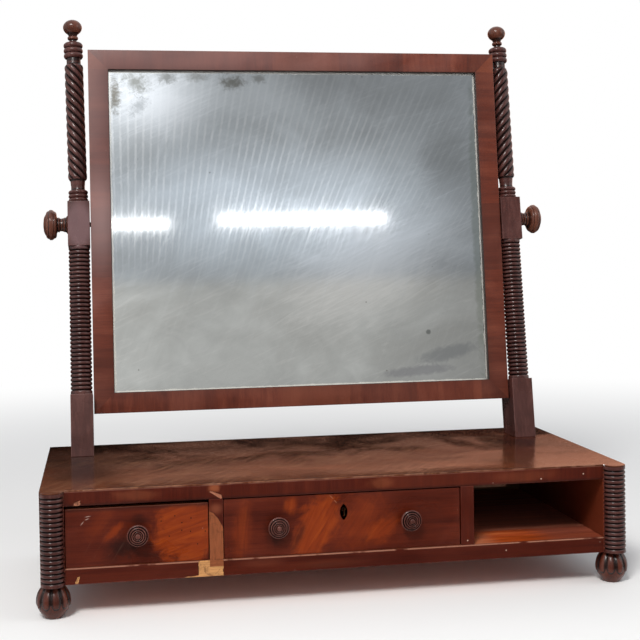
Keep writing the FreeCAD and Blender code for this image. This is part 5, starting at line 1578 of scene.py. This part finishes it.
# Painted light: these tones are brighter than the wood, so that the inside of the bays reads lit.
DUSTBOARD_AND_PAINTED_LIGHT = ((0.30, 0.085, 0.050), (0.42, 0.125, 0.070), (0.54, 0.18, 0.10))
for slot, grain, tones, names in (
        ("pine", "X", DUSTBOARD_AND_PAINTED_LIGHT, ["base_board"]), ("pine", "X", PINE, ["back_panel"]),
        ("pine", "X", PINE, ["mirror_backboard", "glass_blocks"]),
        ("pine", "Y", DUSTBOARD_AND_PAINTED_LIGHT, ["left_partition", "right_partition"]),
        ("pine", "Y", OLD_PINE, ["kickers"]), ("pine", "Y", PINE, ["glue_blocks"]),
        ("drawer_lining", "X", LINING, [f"{bay}_drawer_{part}" for bay in ("left", "centre")
                                        for part in ("back", "bottom")]),
        ("drawer_lining", "Y", LINING, [f"{bay}_drawer_{part}_side" for bay in ("left", "centre")
                                        for part in ("left", "right")])):
    finish, colour = plain_wood(f"{names[0]} wood", tones, grain, len(names))
    if names == ["base_board"]:
        # Painted light: the dustboard's front strip, as deep as light falls into the bay, gets it
        # too.
        strip = finish.rise("Y", FRONT + 56, FRONT + 60, 1.0, 0.0)
        colour = finish.blend(strip, colour, painted_light_in_bay(finish))
    print(dress(finish, colour, [nodes[name] for name in names], 0.12))


# %% [markdown]
# Old brass goes brown where no hand rubs it, and iron screws turn nearly black. Both are one
# net: a fine cloud pattern mixes clean metal with its tarnish, roughens it there, and gives it
# relief.

# %% Brass and iron
def old_metal(name, clean, tarnish, roughness):
    finish = Finish(name, {"Metallic": 1.0})
    finish.uneven = clouds(finish, (6, 6, 6), 1, 4, 0.6)
    finish.give("Roughness", finish.part(finish.uneven, 0.3, 0.7, roughness, roughness + 0.25))
    return finish, finish.blend(finish.part(finish.uneven, 0.35, 0.65), clean, tarnish)


finish, colour = old_metal("tarnished brass", (0.30, 0.20, 0.09), (0.06, 0.040, 0.022), 0.35)
BRASS = ("left_nut_plate", "right_nut_plate", "lock_case", "lock_bolt", "lock_screws",
         "nut_plate_screws", "keyhole_escutcheon")
print(dress(finish, colour, [nodes[name] for name in BRASS]))
finish, colour = old_metal("blackened iron", (0.09, 0.08, 0.07), (0.035, 0.022, 0.016), 0.45)
IRON = ("upright_screws", "backboard_pins", "left_clamp_screw", "right_clamp_screw")
print(dress(finish, colour, [nodes[name] for name in IRON]))

# %% [markdown]
# ## Floor, room and light
#
# The mirror stands on a plain pale floor that runs out to white. Polished wood and silvered glass
# also need something to reflect: plain cards stand about the object, as in a studio. They are
# seen only in reflections and light nothing.


# %% Floor
def sheet(name, corners, constants):
    mesh = bpy.data.meshes.new(name)
    mesh.from_pydata(corners, [], [(0, 1, 2, 3)])
    made = bpy.data.objects.new(name, mesh)
    bpy.context.scene.collection.objects.link(made)
    finish = Finish(name, constants)
    mesh.materials.append(finish.material)
    return made, finish


floor_finish = sheet("floor", [(-30, -30, 0), (30, -30, 0), (30, 30, 0), (-30, 30, 0)],
                     {"Base Color": (0.88, 0.88, 0.88, 1), "Roughness": 1.0,
                      "Specular IOR Level": 0.0})[1]
rays = floor_finish.add("LightPath").outputs
seen = floor_finish.calc("MAXIMUM", rays["Is Camera Ray"], rays["Is Glossy Ray"])
seen = floor_finish.calc("MAXIMUM", seen, rays["Is Transmission Ray"])
distance = floor_finish.add("VectorMath", {0: floor_finish.place}, operation="LENGTH")
WHITE_FROM, WHITE_AT = 0.75, 2.2
far = floor_finish.part(distance.outputs["Value"], WHITE_FROM, WHITE_AT)
white = floor_finish.add("Emission", {"Color": (1, 1, 1, 1), "Strength": 1.0})
mixed = floor_finish.add("MixShader", {0: floor_finish.times(far, seen),
                                       1: floor_finish.skin.outputs[0], 2: white.outputs[0]})
floor_finish.feed(floor_finish.tree.nodes["Material Output"].inputs["Surface"], mixed.outputs[0])
print("the floor turns white between", WHITE_FROM, "and", WHITE_AT, "m from the middle")

# %% [markdown]
# ### Cards to reflect
#
# The glass and the polished top show what stands about them. A bright wall with a darker band
# under it and two strip lights stand in front, a pale table top lies under them, and a warm card
# that darkens towards the left stands behind. Each card is one face whose glow fades along an
# axis; the camera, the shadows and the soft light don't see it.


# %% Cards
def card(name, corners, runs, glows=()):
    """A glowing card that only reflections see.

    Each run fades its tone along an axis, and each glow lays a soft round patch of a tone on it.
    """
    made, finish = sheet(name, corners, {})
    tone = (1.0, 1.0, 1.0)
    for letter, low, high, first, last in runs:
        share = finish.part(finish.along(letter), low, high)
        tone = finish.blend(1.0, tone, finish.blend(share, first, last), "MULTIPLY")
    for centre, radii, share, light in glows:
        soft = mark(finish, centre, radii, soft=1.0)
        tone = finish.blend(finish.times(soft, share), tone, light)
    glow = finish.add("Emission", {"Color": tone})
    finish.feed(finish.tree.nodes["Material Output"].inputs["Surface"], glow.outputs[0])
    made.visible_camera = made.visible_diffuse = made.visible_shadow = False


card("wall card", [(-5, -3.4, 0.05), (-5, -3.4, 4), (5, -3.4, 4), (5, -3.4, 0.05)],
     [("X", -0.35, 0.15, (1.35, 1.35, 1.35), (1, 1, 1)),
      ("X", 0.65, 1.45, (1, 1, 1), (0.72, 0.72, 0.72)),
      ("Z", 0.40, 0.60, (0.10, 0.09, 0.08), (0.56, 0.545, 0.51)),
      ("Z", 0.99, 1.05, (1, 1, 1), (0.80, 0.85, 0.93))],
     [((850, -3400, 2000), (700, 420), 0.6, (0.20, 0.20, 0.20)),
      ((450, -3400, 1330), (1050, 360), 0.8, (0.95, 1.03, 1.12)),
      ((-330, -3400, 2000), (700, 560), 0.85, (1.8, 1.85, 1.9))])
TUBE_HEIGHT, TUBE_GLOW = 0.036, (4.5, 4.5, 4.5)
for name, left, right, low in (("left strip light", -1.3, 0.03, 1.245),
                               ("right strip light", 0.23, 0.95, 1.260)):
    high = low + TUBE_HEIGHT
    card(name, [(left, -3.38, low), (left, -3.38, high), (right, -3.38, high),
                (right, -3.38, low)], [("X", -9, 9, TUBE_GLOW, TUBE_GLOW)])
for name, near, deep, fade in (
        ("front table card", -0.19, -3.39,
         ("Y", -2.4, -1.0, (0.42, 0.41, 0.40), (0.20, 0.17, 0.16))),
        ("back table card", 1.69, 0.2,
         ("Y", 0.2, 1.7, (0.04, 0.03, 0.026), (0.04, 0.03, 0.026)))):
    card(name, [(-3, near, 0.004), (-3, deep, 0.004), (3, deep, 0.004), (3, near, 0.004)],
         [fade])
card("back card", [(-3, 1.7, 0.01), (3, 1.7, 0.01), (3, 1.7, 1.3), (-3, 1.7, 1.3)],
     [("Z", 0.43, 0.50, (0.04, 0.04, 0.04), (1, 1, 1)),
      ("Z", 0.43, 0.50, (0.25, 0.17, 0.14), (1.0, 0.46, 0.30)),
      ("X", -0.32, -0.10, (0.30, 0.30, 0.30), (1, 1, 1)),
      ("X", 0.40, 0.85, (1, 1, 1), (1.5, 1.5, 1.5))])

# %% [markdown]
# ### World
#
# The world does two jobs that no single colour can do. Behind the object, and in its
# reflections, it is white. As a light it is dimmer and slightly cool, so that the colours stay
# as they were mixed. Light Path tells the two uses apart.

# %% World
world = bpy.data.worlds.new("studio")
bpy.context.scene.world = world
world.use_nodes = True
tree = world.node_tree


def most(first, second):
    """The larger of two numbers in the world's net."""
    node = tree.nodes.new("ShaderNodeMath")
    node.operation = "MAXIMUM"
    tree.links.new(first, node.inputs[0])
    tree.links.new(second, node.inputs[1])
    return node.outputs[0]


rays = tree.nodes.new("ShaderNodeLightPath").outputs
seen = most(rays["Is Camera Ray"], most(rays["Is Glossy Ray"], rays["Is Transmission Ray"]))
lit = tree.nodes["Background"]
lit.inputs["Color"].default_value = (0.95, 0.97, 1.0, 1)
lit.inputs["Strength"].default_value = 0.50
white = tree.nodes.new("ShaderNodeBackground")
white.inputs["Color"].default_value = (1, 1, 1, 1)
chosen = tree.nodes.new("ShaderNodeMixShader")
tree.links.new(seen, chosen.inputs[0])
tree.links.new(lit.outputs[0], chosen.inputs[1])
tree.links.new(white.outputs[0], chosen.inputs[2])
tree.links.new(chosen.outputs[0], tree.nodes["World Output"].inputs["Surface"])
print("the world lights at", round(lit.inputs["Strength"].default_value, 2))


# %% [markdown]
# ### Lamps
#
# A large soft key lamp stands high at the left in front, and a weak one at the right opens the
# shadows. Soft lamps suit old polish, because a small one would leave hard white dots on every
# ring of the turnings.

# %% Lamps
def lamp(name, place, size, power, colour=(1, 1, 1)):
    """A square soft lamp pointed at the middle of the object."""
    light = bpy.data.lights.new(name, "AREA")
    light.size, light.energy, light.color = size, power, colour
    made = bpy.data.objects.new(name, light)
    bpy.context.scene.collection.objects.link(made)
    made.location = place
    way = Vector((0, 0, 0.3)) - Vector(place)
    made.rotation_euler = way.to_track_quat("-Z", "Y").to_euler()
    return made


key = lamp("key light", (-1.0, -2.2, 2.45), size=0.8, power=85, colour=(1, 0.98, 0.95))
fill = lamp("fill light", (2.4, -1.2, 1.6), size=1.6, power=10)
print("lamps:", [(thing.name, round(thing.data.energy)) for thing in (key, fill)])

# %% [markdown]
# ## Camera
#
# The camera stands a little to the left, at the height of the looking glass, and looks slightly
# down and to the right with a long lens.

# %% Camera
YAW, PITCH, ROLL = (math.radians(a) for a in (-9.931, -1.109, -0.902))
STAND = (-0.25606, -1.47631, 0.39013)
FOCAL_PIXELS, FRAME_PIXELS, SENSOR = 1238.46, 640, 36
ahead = Vector((-math.sin(YAW) * math.cos(PITCH), math.cos(YAW) * math.cos(PITCH),
                math.sin(PITCH)))
right = ahead.cross(Vector((0, 0, 1))).normalized()
up = right.cross(ahead)
camera_right = math.cos(ROLL) * right + math.sin(ROLL) * up
camera_up = -math.sin(ROLL) * right + math.cos(ROLL) * up
camera = bpy.data.objects.new("camera", bpy.data.cameras.new("camera"))
bpy.context.scene.collection.objects.link(camera)
turn = Matrix((camera_right, camera_up, -ahead)).transposed().to_4x4()
camera.matrix_world = Matrix.Translation(STAND) @ turn
camera.data.lens = SENSOR * FOCAL_PIXELS / FRAME_PIXELS
camera.data.shift_x, camera.data.shift_y = 0.003, -0.0812
camera.data.clip_start = 0.05
bpy.context.scene.camera = camera
bpy.context.scene.view_settings.view_transform = "Standard"
print("lens:", round(camera.data.lens, 1), "mm")

# %% [markdown]
# ## The size
#
# The dressed object must fill the same box as the fixed model.
